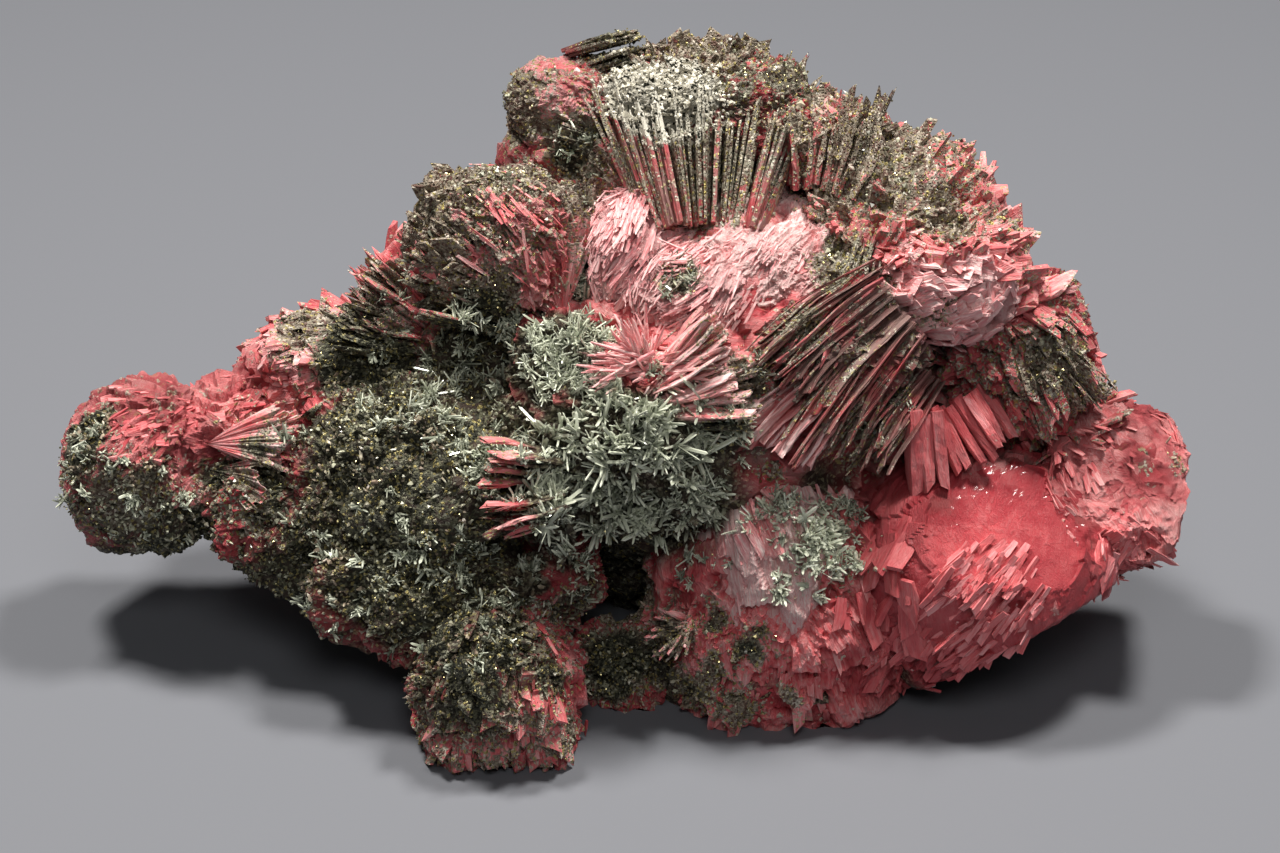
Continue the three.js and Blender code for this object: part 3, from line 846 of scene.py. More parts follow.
# Painted shade: the tint darkens where the skin sinks into hollows, the dust skin thickens in hollows and
# on faces that look down, and the bed colour covers faces that look down and, more thinly, upright ones.
# The even 0.15 of dust and the paler shards are the rock's own.
body_values = {
    "grain": np.stack([(points * v).sum(-1) for v in (run, turned, normals)], -1) + own[:, None] * 13.1,
    "edge": 0.3 * (key > 0.6),
    "tint": 0.50 + 0.3 * (key - 0.5) - 0.12 * np.clip(-lift, 0, 3),
    "dust": 0.15 + 0.10 * np.clip(-lift, 0, 3) + 0.5 * np.clip(-normals[:, 2], 0, 1),
    "bed": np.clip(0.25 - normals[:, 2] + 0.4 * noise(points, 9, 18), 0, 1),
}
body = overgrown({"points": body_points, "faces": [quads], "values": body_values})
skin = put_mesh("rhodonite_body", body_points, [quads], body["values"])
finish(skin, pink, "rhodonite", "rhodonite_mass")
rock.append(body)

# Masses with a finer skin than the body: centre, half-sizes, nucleus of the fibres, swell, then length,
# width and relief of the shards, size and height of the fibres, tint, about how far apart the points are,
# and for some masses the depth of the pits, the thickness of the layers and how boxy they are.
MASSES = {
    "dome": ((30, 8, 84), (22, 19, 17.5), (66, 50, 112), 1.6, (12, 4.5, 0.55), (0.7, 0.40), 1.02, 0.44),
    "dome_left": ((14, 0, 86), (14, 14, 12), (50, 40, 112), 1.8, (10, 3.0, 0.9), (0.7, 0.45), 1.05, 0.42),
    "dome_lobe": ((0, 6, 89.5), (8.5, 12, 14), (26, 40, 120), 1.4, (10, 2.6, 0.7), (0.7, 0.45), 0.95, 0.42),
    "bright_fold_mass": ((67, 2, 88), (15, 14, 13), (52, 20, 76), 1.6, (8, 4.0, 0.9), (1.2, 0.35), 1.05,
        0.5),
    "round_end": ((75, -16, 27), (30, 24.5, 27), (104, 24, 70), 0.9, (26, 10.0, 0.6), (1.6, 0.08), 0.43,
        0.72, 0, 3.5, 2.3),
    "right_knob": ((104, -7, 41), (16.5, 16, 17), (86, 12, 62), 0.9, (12, 5.0, 1.1), (1.2, 0.28), 0.60,
        0.52, 0, 1.4, 4.0),
    "pink_slab": ((32, -10, 28), (21, 29, 30), (16, 2, 84), 1.4, (16, 7.0, 0.8), (0.9, 0.25), 1.0, 0.70, 0,
        1.4, 2.0),
    "shoulder_mass": ((-26, 8, 92), (17, 13, 16), (-14, 3, 80), 1.8, (18, 2.2, 0.9), (0.8, 0.45), 0.62,
        0.50),
    "pyrite_ball": ((-27, -1, 86.5), (4.4, 4.2, 4.8), (-20, 10, 78), 0.3, (2, 1.5, 0.4), (0.8, 0.2), 0.3,
        0.5),
    "hanging_mass": ((43, -6, 77), (19, 15, 13), (74, 6, 102), 1.2, (13, 2.0, 1.6), (0.8, 0.35), 0.12,
        0.60),
    "flank_mass": ((82, 3, 68), (15, 15, 18), (64, 10, 98), 1.4, (12, 2.4, 1.8), (0.9, 0.40), 0.38, 0.55),
    "arm_knob": ((-104, 3, 40), (17, 16, 19), (-88, 6, 60), 1.6, (10, 4.0, 0.9), (1.0, 0.40), 0.42, 0.54),
    "arm_mass": ((-82, 4, 42), (20, 16, 16), (-60, 14, 60), 2.4, (8, 3.0, 1.2), (1.0, 0.45), 0.55, 0.60),
    "left_shoulder": ((-66, 12, 59), (13, 12, 11), (-50, 20, 60), 1.4, (8, 4.0, 0.8), (1.2, 0.35), 0.80,
        0.58),
    "middle_foot": ((34, -20, 14), (27, 20, 24), (30, -4, 44), 2.0, (12, 4.5, 1.3), (1.1, 0.40), 0.62,
        0.74),
    "left_flank": ((-40, -6, 45), (32, 22.5, 21.5), (-30, 10, 30), 3.6, (2.6, 2.2, 0.9), (0.9, 0.35), 0.40,
        0.74, 3.0),
    "ledge": ((-38, -18, 27), (30, 19, 17), (-30, 0, 20), 3.4, (2.6, 2.2, 0.9), (0.9, 0.35), 0.40, 0.74,
        3.0),
    "front_foot": ((-27, -37, 10), (17, 16, 22), (-26, -24, 44), 2.4, (5, 2.6, 1.0), (1.0, 0.35), 0.34,
        0.66, 1.2),
    "between_feet": ((-1, -22, 5), (12.5, 9, 10.5), (0, 0, 40), 1.8, (3.0, 2.4, 1.0), (1.0, 0.35), 0.30,
        0.80, 3.0),
    "under_arm": ((-66, -6, 34), (24, 15, 18), (-50, 10, 60), 3.0, (3.0, 2.4, 1.0), (1.0, 0.35), 0.35, 0.74,
        3.0),
    "nose": ((2, -14, 60), (21, 18, 22), (0, 10, 60), 2.4, (2.4, 2.0, 0.8), (0.9, 0.35), 0.35, 0.74, 3.0),
    "nose_upper": ((-12, -4, 74), (13, 14, 11), (0, 10, 60), 1.8, (2.4, 2.0, 0.8), (0.9, 0.35), 0.40, 0.74,
        3.0),
    "top_wedge_mass": ((-11, 35, 111), (15, 9, 11), (8, 36, 96), 0.9, (12, 4.0, 0.7), (1.2, 0.25), 0.80,
        0.50),
    "fan_crust": ((16, 31, 117), (22, 11, 5.5), (17, 31, 60), 1.6, (2.4, 2.0, 0.7), (0.9, 0.30), 0.30,
        0.45),
    "fan_crust_right": ((36, 26, 111), (12, 11, 6.5), (17, 31, 60), 1.6, (2.4, 2.0, 0.7), (0.9, 0.30), 0.30,
        0.48),
}
MASS_TINT = 6  # where the tint is in a row of the table
GLOSSY = ("round_end",)
# How much dustier some masses are, and how much paler: partly their own pale streaks, partly painted
# light that brightens faces the lamps leave dim, as on the pink slab, the dome and the bright fold.
DUSTY = {"hanging_mass": 0.40, "flank_mass": 0.45, "arm_knob": 0.24, "shoulder_mass": 0.28,
         "front_foot": 0.36, "between_feet": 0.3, "top_wedge_mass": 0.4, "arm_mass": 0.15,
         "middle_foot": 0.15}
PALER_AND_PAINTED_LIGHT = {"pink_slab": 0.6, "dome": 0.65, "dome_left": 0.4, "dome_lobe": 0.2, "arm_knob": 0.7,
         "arm_mass": 0.4, "right_knob": 0.35, "bright_fold_mass": 0.35, "shoulder_mass": 0.4,
         "flank_mass": 0.3}
TOWARDS_VIEW = unit(np.array([0.0, -0.62, 0.78]))
LAYER = 1.0  # thickness of the layers that a mass is torn in
BOXY = 2.5  # the power that makes the masses rounder (2) or boxier (more)
LITTLE_SALT = 31.7  # sets the little shards apart from the big ones

# Hollows pressed into the masses: middle, reach and depth.
HOLLOWS = [((-44, -26, 53), 9, 7), ((20, -33, 64), 7, 5), ((13, -28, 77), 6, 4), ((-8, -36, 40), 8, 4),
           ((-28, -34, 52), 6, 4), ((-60, -24, 50), 6, 4), ((12, -9, 92), 3.5, 3), ((-88, -9, 48), 5, 7)]


def mass(centre, half, nucleus, swell, shard_size, fibre, tint, spacing,
         pitted=0.0, layer=LAYER, boxy=BOXY):
    """An ellipsoid, more or less boxy, on a grid of circles about the pole that faces up and forward,
    closed at both ends. The circles are close together on the near side and far apart behind. Along its
    normals it stands out by slow swells, by layers torn off at ragged steps, by two sizes of shards, and
    by fibres that run away from the nucleus, less the pits and hollows.
    """
    centre, half, nucleus = vectors(centre, half, nucleus)
    girth = 2 * math.pi * half.mean()
    columns = int(girth / spacing)
    rows = int(girth / 2 / spacing * 0.72)
    fall = np.interp(np.linspace(0, 1, rows), [0, 0.86, 1], [0.012, math.radians(105), math.pi - 0.05])
    fall = fall[:, None]
    turn = np.linspace(0, 2 * math.pi, columns, endpoint=False)[None, :]
    east = unit(np.cross([0.0, 0, 1], TOWARDS_VIEW))
    north = np.cross(TOWARDS_VIEW, east)
    way = (TOWARDS_VIEW * np.cos(fall)[..., None] + east * (np.sin(fall) * np.cos(turn))[..., None]
           + north * (np.sin(fall) * np.sin(turn))[..., None]).reshape(-1, 3)
    way = np.concatenate([way, TOWARDS_VIEW[None], -TOWARDS_VIEW[None]])
    squared = np.sum(np.abs(way) ** boxy, -1, keepdims=True) ** (1 / boxy)
    skin = centre + way / squared * half
    normal = unit(np.sign(way) * np.abs(way) ** (boxy - 1) / half)
    start = np.linalg.norm(centre + TOWARDS_VIEW * half - nucleus)
    long, wide, relief = shard_size
    coarse, key, out = torn(skin, normal, nucleus, start, long, wide, relief)
    little = torn(skin, normal, nucleus, start, long * 0.5, wide * 0.45, relief * 0.4, LITTLE_SALT)[0]
    size, height = fibre
    fibre_place = from_nucleus(skin, nucleus, start, size * 5, size)[0]
    ridges = noise(fibre_place, 1, 5) + 0.6 * noise(fibre_place * 2.1, 1, 6)
    slow = swell * (noise(skin, 11, 7) + 0.5 * noise(skin, 5, 8))
    level = (1.6 * slow + 0.5 * coarse + 0.9 * noise(skin, 6, 12) + 0.4 * ridges) / layer
    step = np.floor(level)
    stepped = layer * (0.3 * level + 0.7 * (step + np.clip((level - step) * 3.5 - 2.5, 0, 1))) / 1.6
    lift = stepped + 0.6 * coarse + little + height * ridges
    if pitted:
        pits = np.clip(noise(skin, 4.2, 9) - 0.15, 0, 0.5) / 0.5
        lift = lift - pitted * pits - 0.8 * np.clip(noise(skin, 2, 10), 0, 1)
    for middle, reach, depth in HOLLOWS:
        lift = lift - depth * np.exp(-(distance(skin, middle) / reach) ** 2)
    points = trimmed(skin + normal * lift[:, None])
    points[:, 2] = np.maximum(points[:, 2], 0)
    run_way = side_of(normal, out)
    side = np.cross(run_way, normal)
    # Painted shade: the tint darkens where the skin is pressed in, and the bed colour covers faces that
    # look down.
    values = {
        "grain": np.stack([(skin * v).sum(-1) for v in (run_way, side, normal)], -1),
        "edge": np.clip(ridges, 0, 1) * 0.5,
        "tint": tint * (0.95 + 0.3 * (key - 0.5)) - 0.1 * np.clip(-lift, 0, 2),
        "dust": 0 * lift,
        "bed": np.clip(-0.9 * normal[:, 2] - 0.15 + 0.3 * noise(skin, 9, 18), 0, 1),
    }
    return {"points": points, "faces": closed_grid(rows, columns, True), "values": values,
            "run": run_way, "normal": normal}


masses = {name: mass(*row) for name, row in MASSES.items()}
for name, made in masses.items():
    # Painted light, in part: raising edge over a whole mass makes all of it paler.
    made["values"]["edge"] = made["values"]["edge"] + PALER_AND_PAINTED_LIGHT.get(name, 0)
    put_rock(name, made, glossy_pink if name in GLOSSY else pink, DUSTY.get(name, 0))

# ---------------------------------------- flush flakes

# Flakes that lie almost flat on a mass, along its fibres: how many, length, width, thickness and rise.
FLAKES = {
    "dome": (1000, 2.8, 0.34, 0.15, 0.04),
    "dome_left": (1500, 3.8, 0.42, 0.22, 0.11),
    "dome_lobe": (1200, 4.8, 0.55, 0.26, 0.10),
    "bright_fold_mass": (600, 4.5, 1.5, 0.50, 0.22),
    "pink_slab": (120, 5.0, 1.0, 0.25, 0.03),
    "right_knob": (320, 4.0, 1.2, 0.30, 0.06),
    "arm_knob": (150, 3.0, 0.7, 0.30, 0.10),
    "middle_foot": (90, 4.0, 1.2, 0.40, 0.15),
    "front_foot": (350, 3.6, 1.2, 0.45, 0.25),
    "arm_mass": (180, 3.0, 0.9, 0.35, 0.25),
    "left_shoulder": (200, 3.4, 1.1, 0.45, 0.15),
    "shoulder_mass": (240, 5.0, 0.7, 0.25, 0.06),
}

# Places that stay free of flakes: middle and reach.
SMOOTH = [((36, 10, 101), 19), ((24, -34, 44), 12), ((34, -40, 34), 10), ((110, -14, 48), 12)]


def flakes(made, count, long, wide, thick, rise, tint):
    """Thin flakes bedded in a mass, along its fibres and rising a little from it, at random places. Their
    directions and their tilts drift over a few millimetres, so that neighbours lie alike.
    """
    here = made["points"][:-2]
    away = np.min([distance(here, middle) / reach for middle, reach in SMOOTH], 0)
    weight = np.clip(away * 2 - 1.4, 0.02, 1) * np.clip(1 + 1.6 * noise(here, 5, 14), 0.1, 3)
    chosen = random.choice(len(here), count, replace=False, p=weight / weight.sum())
    place = here[chosen]
    out = unit(made["normal"][chosen] + 0.3 * noises(place, 6, 15))
    drift = 0.45 * noise(place, 7, 13)[:, None] + random.normal(0, 0.12, (count, 1))
    run_way = made["run"][chosen] * np.cos(drift) + np.cross(out, made["run"][chosen]) * np.sin(drift)
    along = unit(run_way + out * random.uniform(0.0, 2.0, (count, 1)) * rise)
    flat = side_of(along, out + np.cross(along, out) * random.normal(0, 0.25, (count, 1)))
    size = np.minimum(random.lognormal(-0.1, 0.5, count), 1.9)
    root = place - along * (long * size)[:, None] * 0.5 - out * thick * 0.1
    return blades(root, along, flat, long * size, wide * size * random.uniform(0.5, 1.4, count),
                  thick * random.uniform(0.7, 1.4, count), random.normal(0, 0.03, count),
                  tint * random.uniform(0.85, 1.15, count), 0, root_width=0.6, tip_width=0.6, jag=0.22,
                  stations=3, ring=FLAKE_RING, pale_edge=0.45)


for name, row in FLAKES.items():
    put_rock(name + "_flakes", flakes(masses[name], *row, MASSES[name][MASS_TINT]))

# ---------------------------------------- plates

# Fields of slab-like crystals on the body and the masses: middle and reach, nucleus, length, width and
# thickness, how many, how steeply they rise, tint and dust.
FIELDS = {
    "crest_tablets": ((60, 12, 108), 22, (54, 14, 84), (6.5, 3.2, 1.5), 420, 1.1, 0.58, 0.30),
    "crest_right_tablets": ((79, 4, 96), 14, (60, 2, 84), (7, 3.8, 1.7), 160, 0.9, 0.60, 0.2),
    "fold_plates": ((66, -4, 91), 13, (52, 20, 76), (6, 2.8, 0.8), 240, 0.4, 1.05, 0.0),
    "flank_plates": ((90, -4, 68), 18, (64, 10, 98), (7, 2.4, 0.7), 110, 0.35, 0.45, 0.40),
    "upright_plates": ((52, -33, 34), 13, (54, -14, 96), (9, 3.0, 1.0), 28, 0.12, 0.55, 0.0),
    "slab_layers": ((74, -40, 33), 13, (104, -6, 62), (6, 1.3, 0.45), 130, 0.12, 0.74, 0.0),
    "end_layers": ((64, -36, 14), 14, (96, 0, 60), (5, 1.6, 0.6), 120, 0.18, 0.5, 0.0),
    "knob_layers": ((100, -22, 33), 8, (120, 4, 62), (4.5, 2.2, 0.5), 40, 0.12, 0.75, 0.0),
    "arm_plates": ((-76, -2, 57), 12, (-96, 6, 44), (4, 2.6, 0.6), 130, 0.9, 0.5, 0.35),
    "arm_top_plates": ((-66, 10, 70), 11, (-44, 14, 64), (6, 3.4, 1.2), 90, 0.4, 0.80, 0.15),
    "knob_ring_plates": ((-103, 0, 54), 13, (-88, 6, 44), (3, 1.2, 0.5), 50, 0.12, 0.55, 0.0),
    "foot_plates": ((30, -38, 8), 17, (34, -10, 40), (4.5, 2.2, 0.8), 60, 0.25, 0.55, 0.3),
    "foot_edge_plates": ((-27, -50, 8), 15, (-26, -26, 36), (6, 2.8, 1.2), 200, 0.5, 0.5, 0.4),
    "foot_top_plates": ((-28, -46, 24), 14, (-26, -30, 6), (5, 2.4, 1.0), 80, 0.7, 0.3, 0.8),
    "top_plates": ((14, 42, 114), 16, (14, 30, 80), (6, 3.0, 1.3), 150, 1.0, 0.5, 0.5),
    "shoulder_plates": ((-38, 10, 92), 14, (-14, 14, 70), (6, 3.2, 0.9), 200, 0.7, 0.4, 0.7),
    "slab_edge_plates": ((22, -30, 54), 12, (10, 0, 76), (7, 3.0, 0.8), 60, 0.15, 0.8, 0.0),
    "back_plates": ((10, 50, 60), 44, (16, 10, 50), (8, 3.6, 1.2), 520, 0.35, 0.6, 0.2),
    "back_right_plates": ((84, 36, 56), 30, (58, 12, 50), (8, 3.6, 1.2), 400, 0.35, 0.62, 0.15),
    "back_left_plates": ((-54, 38, 48), 34, (-34, 12, 44), (8, 3.6, 1.2), 400, 0.4, 0.5, 0.3),
}
LOWEST_PLATE = 2
BURIED = 2.5
all_points = np.concatenate([body_points] + [made["points"] for made in masses.values()])
all_normals = np.concatenate([normals] + [made["normal"] for made in masses.values()])


def buried(places):
    """Whether each place is more than about BURIED mm inside any lump."""
    deepest = np.zeros(len(places))
    for centre, half, turn in LUMPS:
        local = (places - np.array(centre)) @ turned_about_z(-turn)
        deepest = np.maximum(deepest, (1 - np.linalg.norm(local / np.array(half), axis=-1)) * min(half))
    return deepest > BURIED


in_the_open = ~buried(all_points) & (all_points[:, 2] > LOWEST_PLATE)


def field(middle, reach, nucleus, size, count, rise, tint, dust):
    """Slabs on the surface around a middle, running away from the nucleus and rising from the surface."""
    inside = distance(all_points, middle) < reach
    chosen = random.choice(np.flatnonzero(inside & in_the_open), count, replace=False)
    out = unit(all_normals[chosen] + scatter(count, 0.1))
    run_way = side_of(out, unit(all_points[chosen] - np.array(nucleus)))
    along = unit(run_way + out * random.uniform(0.1, 1.9, (count, 1)) * rise + scatter(count, 0.10))
    flat = side_of(along, out + np.cross(along, out) * random.normal(0, 0.3 + 0.5 * rise, (count, 1)))
    long, wide, thick = size
    size = np.minimum(random.lognormal(0, 0.3, count), 1.4)
    root = all_points[chosen] - along * (long * size)[:, None] * 0.5 - out * thick * 0.2
    return blades(root, along, flat, long * size, wide * size * random.uniform(0.6, 1.3, count),
                  thick * random.uniform(0.7, 1.4, count), random.normal(0, 0.03, count),
                  tint * random.uniform(0.8, 1.2, count), dust * random.uniform(0.5, 1.3, count),
                  ragged=0.08, jag=0.08, stations=4, ring=PLATE_RING, pale_edge=0.5)


GLOSSY_FIELDS = ("slab_layers", "end_layers", "knob_layers", "upright_plates")
for name, row in FIELDS.items():
    put_rock(name, field(*row), glossy_pink if name in GLOSSY_FIELDS else pink)

# ---------------------------------------- fans

# Fans of bladed crystals: apex and tip of the middle blade, side, opening in degrees and depth, share of
# the way out at which the blades start, blades in a row, rows, thickness, roll about their length (0 on
# edge, 90 face on), tint and dust. Some have more: stair, by how much the back row is longer than the
# front row; slant, by how much one side is longer than the other; bend and wave, as for blades; fickle,
# by how much the roll differs; pale, how pale the edges are; and dust_root, how much of the dust reaches
# the root.
FANS = {
    "pale_topped_fan": ((17, -12, 72), (17, 31, 117), (1, 0, 0), 42, 20, 0.5, 30, 7, 0.85, 7, 0.16, 0.48,
        dict(stair=0.1, slant=-0.08, fickle=0.14, dust_root=0.8)),
    "fan_to_the_right": ((37, 4, 80), (44, 22, 119), (1, -0.2, -0.2), 30, 14, 0.58, 14, 4, 1.0, 12, 0.42,
        0.32, dict(fickle=0.25, stair=0.25, wave=0.5)),
    "back_ridge": ((18, 36, 84), (18, 42, 121), (1, 0, 0), 74, 10, 0.5, 22, 2, 1.2, 15, 0.45, 0.5, {}),
    "shoulder_left": ((-30, 10, 64), (-59, 11, 78), (0.4, 0.5, 0.8), 42, 14, 0.5, 14, 3, 0.9, 14, 0.5, 0.3,
        dict(wave=0.5)),
    "hanging_blades": ((93, 14, 109), (32, -25, 76), (0.55, -0.35, -0.75), 22, 8, 0.62, 24, 4, 0.6, 10,
        0.14, 0.4, dict(bend=0.12, wave=0.8, fickle=0.2, pale=0.45)),
    "hanging_blades_upper": ((82, 16, 112), (34, -22, 83), (0.4, -0.4, -0.8), 13, 5, 0.66, 10, 3, 0.6, 25,
        0.45, 0.45, dict(bend=0.16, wave=0.6, fickle=0.3, pale=0.8)),
    "hanging_blades_right": ((89, 21, 84), (43, -24, 68), (0.7, -0.4, -0.6), 22, 7, 0.64, 14, 3, 0.6, 10,
        0.08, 0.35, dict(bend=0.1, wave=0.8, fickle=0.2, pale=0.4)),
    "hanging_blades_low": ((64, -6, 91), (29, -27, 66), (0.66, -0.41, -0.63), 22, 5, 0.62, 11, 2, 0.8, 25,
        0.85, 0.05, dict(bend=0.08, wave=0.5, fickle=0.2)),
    "pocket_blades": ((56, 14, 106), (46, -8, 88), (0.9, -0.2, -0.3), 28, 9, 0.5, 12, 4, 0.7, 12, 0.15, 0.9,
        dict(bend=0.15, wave=0.5)),
    "nose_blades": ((-2, -18, 68), (24, -24, 84), (0.6, -0.4, -0.6), 50, 10, 0.35, 10, 4, 0.9, 25, 0.85,
        0.3, dict(wave=0.5)),
    "cleft_leaves": ((6, -20, 54), (-29, -37, 60), (0, 0.55, 0.84), 32, 10, 0.6, 7, 3, 0.9, 14, 0.5, 0.3,
        dict(wave=0.6)),
    "flank_blades": ((70, 8, 94), (96, -8, 61), (0.6, 0.3, 0.7), 26, 10, 0.72, 14, 3, 0.7, 16, 0.45, 0.5,
        dict(bend=-0.08, wave=0.6, fickle=0.25)),
    "back_left_fan": ((-24, 20, 54), (-42, 46, 68), (1, 0.7, 0.1), 84, 14, 0.5, 24, 3, 1.0, 15, 0.6, 0.3,
        dict(wave=0.4)),
    "back_middle_fan": ((20, 22, 60), (30, 51, 78), (1, 0, 0), 84, 14, 0.5, 28, 3, 1.0, 15, 0.6, 0.3,
        dict(wave=0.4)),
    "back_right_fan": ((54, 22, 60), (80, 49, 56), (0, 0.3, 0.9), 72, 14, 0.5, 22, 3, 1.0, 15, 0.65, 0.2,
        dict(wave=0.4)),
}
BUNDLE = 4  # neighbouring blades that keep together
BUNDLES = 50  # more bundles than any row has


def fan(apex, tip, side, opening, depth, first, count, rows, thick, roll, tint, dust, stair=0.0, slant=0.0,
        bend=0.0, wave=0.0, fickle=0.1, dust_root=0.2, pale=1.0):
    """Rows of blades on lines that leave the apex, spread evenly over the opening, each row set back by
    depth over rows. The flat faces look along the arc that the tips lie on, turned by roll.
    """
    apex, tip, side = vectors(apex, tip, side)
    long = np.linalg.norm(tip - apex)
    axis = unit(tip - apex)
    across = side_of(axis, side)
    deep = np.cross(across, axis)
    deep = deep * np.sign(deep[1])
    number = count * rows
    row = np.repeat(np.arange(rows), count)
    bundle = (np.tile(np.arange(count), rows) + row) // BUNDLE + row * BUNDLES
    turned, set_back, cut = (random.normal(0, 1, BUNDLES * rows + count)[bundle] for _ in range(3))
    step = (np.tile(np.arange(count), rows) + 0.5 + random.normal(0, 0.22, number)) / count
    step = step - 0.5 + turned * 0.02
    angle = (step * math.radians(opening))[:, None]
    along = unit(axis * np.cos(angle) + across * np.sin(angle) + scatter(number, 0.022))
    back = (row + 0.5) / rows - 0.5 + random.normal(0, 0.05, number) + set_back * 0.08
    root = apex + along * long * first + deep * (back * depth)[:, None] + scatter(number, 0.3)
    tangent = side_of(along, across * np.cos(angle) - axis * np.sin(angle))
    turn = np.radians(roll) * random.choice([-1, 1], number) + random.normal(0, fickle, number)
    flat = side_of(along, tangent * np.cos(turn)[:, None] + deep * np.sin(turn)[:, None])
    uneven = 1 + 0.05 * noise(root + along * long, 6, 3) - np.abs(random.normal(0, 0.03, number))
    uneven = uneven + cut * 0.03
    reach = long * (uneven + stair * back + slant * step * 2 - first)
    return blades(root, along, flat, reach, depth / rows * random.uniform(0.8, 1.5, number),
                  thick * random.uniform(0.6, 1.25, number), bend + random.normal(0, 0.015, number),
                  tint * random.uniform(0.6, 1.4, number), dust * random.uniform(0.5, 1.35, number),
                  ragged=0.12, jag=0.12, stations=8 if wave else 5, wave=wave, pale_edge=pale,
                  dust_root=dust_root)


for name, (*row, more) in FANS.items():
    put_rock(name, fan(*row, **more))

# Stacks of fan-shaped leaves: apex, tip, side, opening, depth of the stack, leaves, thickness, bend,
# tint, dust and, for some, how far their directions spread.
LEAVES = {
    "shoulder_rosette": ((-13, 2, 80), (-23, 8, 104), (1, 0.3, 0.3), 84, 9, 5, 1.2, 0.08, 0.75, 0.45),
    "top_pages": ((-13, 38, 118), (6, 39, 122.5), (0, -0.84, 0.54), 80, 9, 9, 0.7, 0.0, 0.12, 0.5, 0.025),
    "shoulder_pages": ((-16, 0, 79), (-45, 4, 91), (0, -0.84, 0.54), 40, 13, 9, 0.8, 0.05, 0.20, 0.5, 0.10),
    "shoulder_ridge": ((-6, 10, 86), (-10, 12, 106), (1, 0.3, 0.2), 36, 5, 3, 1.3, 0.0, 0.7, 0.4),
    "arm_leaf_stack": ((-85, -5, 50), (-69, -12, 58), (0, 0.55, 0.84), 56, 8, 4, 0.9, 0.15, 0.65, 0.3),
    "arm_leaf_stack_low": ((-86, -6, 46), (-71, -13, 46), (0, 0.55, 0.84), 56, 8, 4, 0.9, -0.15, 0.65, 0.2),
    "left_edge_leaves": ((-36, 12, 62), (-58, 10, 80), (0.4, 0.5, 0.8), 50, 12, 5, 1.3, 0.1, 0.75, 0.2),
    "notch_leaves": ((6, 24, 92), (-10, 23, 108), (1, 0.2, 0.2), 60, 8, 4, 1.2, 0.05, 0.5, 0.6),
    "wedge_leaves": ((10, 32, 98), (-20, 31, 116), (0.5, 0.45, 0.7), 32, 8, 4, 1.6, 0.04, 0.8, 0.3),
}


def leaves(apex, tip, side, opening, depth, number, thick, cup, tint, dust, spread=0.06):
    """A stack of fan-shaped leaves from one apex, a little shorter from one leaf to the next. Their
    directions differ by about spread.
    """
    apex, tip, side = vectors(apex, tip, side)
    axis = unit(unit(tip - apex)[None] + scatter(number, spread))
    across = side_of(axis, side + scatter(number, 1.5 * spread))
    deep = np.cross(across, axis)
    back = np.linspace(-0.5, 0.5, number)
    root = apex + deep * (back * depth)[:, None] + scatter(number, 0.6)
    long = np.linalg.norm(tip - apex) * (1.06 - 0.16 * (back + 0.5)) * random.uniform(0.93, 1.07, number)
    return petals(root, axis, across, long, opening * random.uniform(0.85, 1.1, number), thick, cup,
                  tint * random.uniform(0.85, 1.15, number), dust * random.uniform(0.8, 1.1, number))


for name, row in LEAVES.items():
    put_rock(name, leaves(*row))

# Sprays of splinters: root, direction, spread, how many, length, width, thickness, tint, dust and, for
# broad tablets, how far apart they stand.
SPRAYS = {
    "nose_spray_left": ((2, -20, 80), (-0.95, -0.25, 0.1), 0.30, 90, 13, 1.3, 0.7, 0.95, 0.1),
    "nose_spray_up": ((4, -18, 80), (-0.3, -0.1, 0.95), 0.35, 60, 12, 1.3, 0.7, 0.95, 0.1),
    "nose_spray_down": ((6, -20, 78), (-0.5, -0.6, -0.5), 0.4, 60, 9, 1.2, 0.7, 0.9, 0.2),
    "nose_spray_right": ((8, -20, 80), (0.85, -0.3, 0.3), 0.3, 60, 14, 1.3, 0.7, 0.8, 0.5),
    "dome_end_spray": ((14, -4, 94), (-0.75, -0.45, -0.2), 0.35, 90, 10, 1.0, 0.5, 1.0, 0.1),
    "dome_lobe_spray": ((2, 2, 92), (-0.55, -0.5, -0.5), 0.3, 80, 9, 0.9, 0.5, 1.0, 0.0),
    "shoulder_blades": ((-20, -2, 90), (0.45, -0.5, -0.8), 0.10, 4, 10, 2.4, 1.0, 0.7, 0.0),
    "coral_tablets": ((70, -14, 66), (0.50, -0.40, -0.76), 0.07, 8, 16, 2.6, 3.0, 0.60, 0.1, 1.7),
    "coral_upright": ((62, -18, 65), (0.06, -0.34, -0.94), 0.05, 3, 19, 3.6, 5.0, 0.58, 0.0, 2.6),
    "foot_spray": ((12, -34, 24), (-0.6, -0.5, -0.1), 0.5, 40, 9, 1.8, 0.9, 0.85, 0.1),
    "cleft_tip": ((-12, -32, 46), (-0.3, -0.7, 0.5), 0.3, 8, 7, 2.0, 1.0, 0.8, 0.1),
    "foot_left_blades": ((-40, -44, 18), (-0.85, -0.4, 0.0), 0.3, 14, 9, 3.0, 1.3, 0.6, 0.3),
    "pebble_blades": ((-66, -16, 34), (-0.9, -0.3, 0.0), 0.3, 16, 9, 3.0, 1.2, 0.5, 0.4),
}


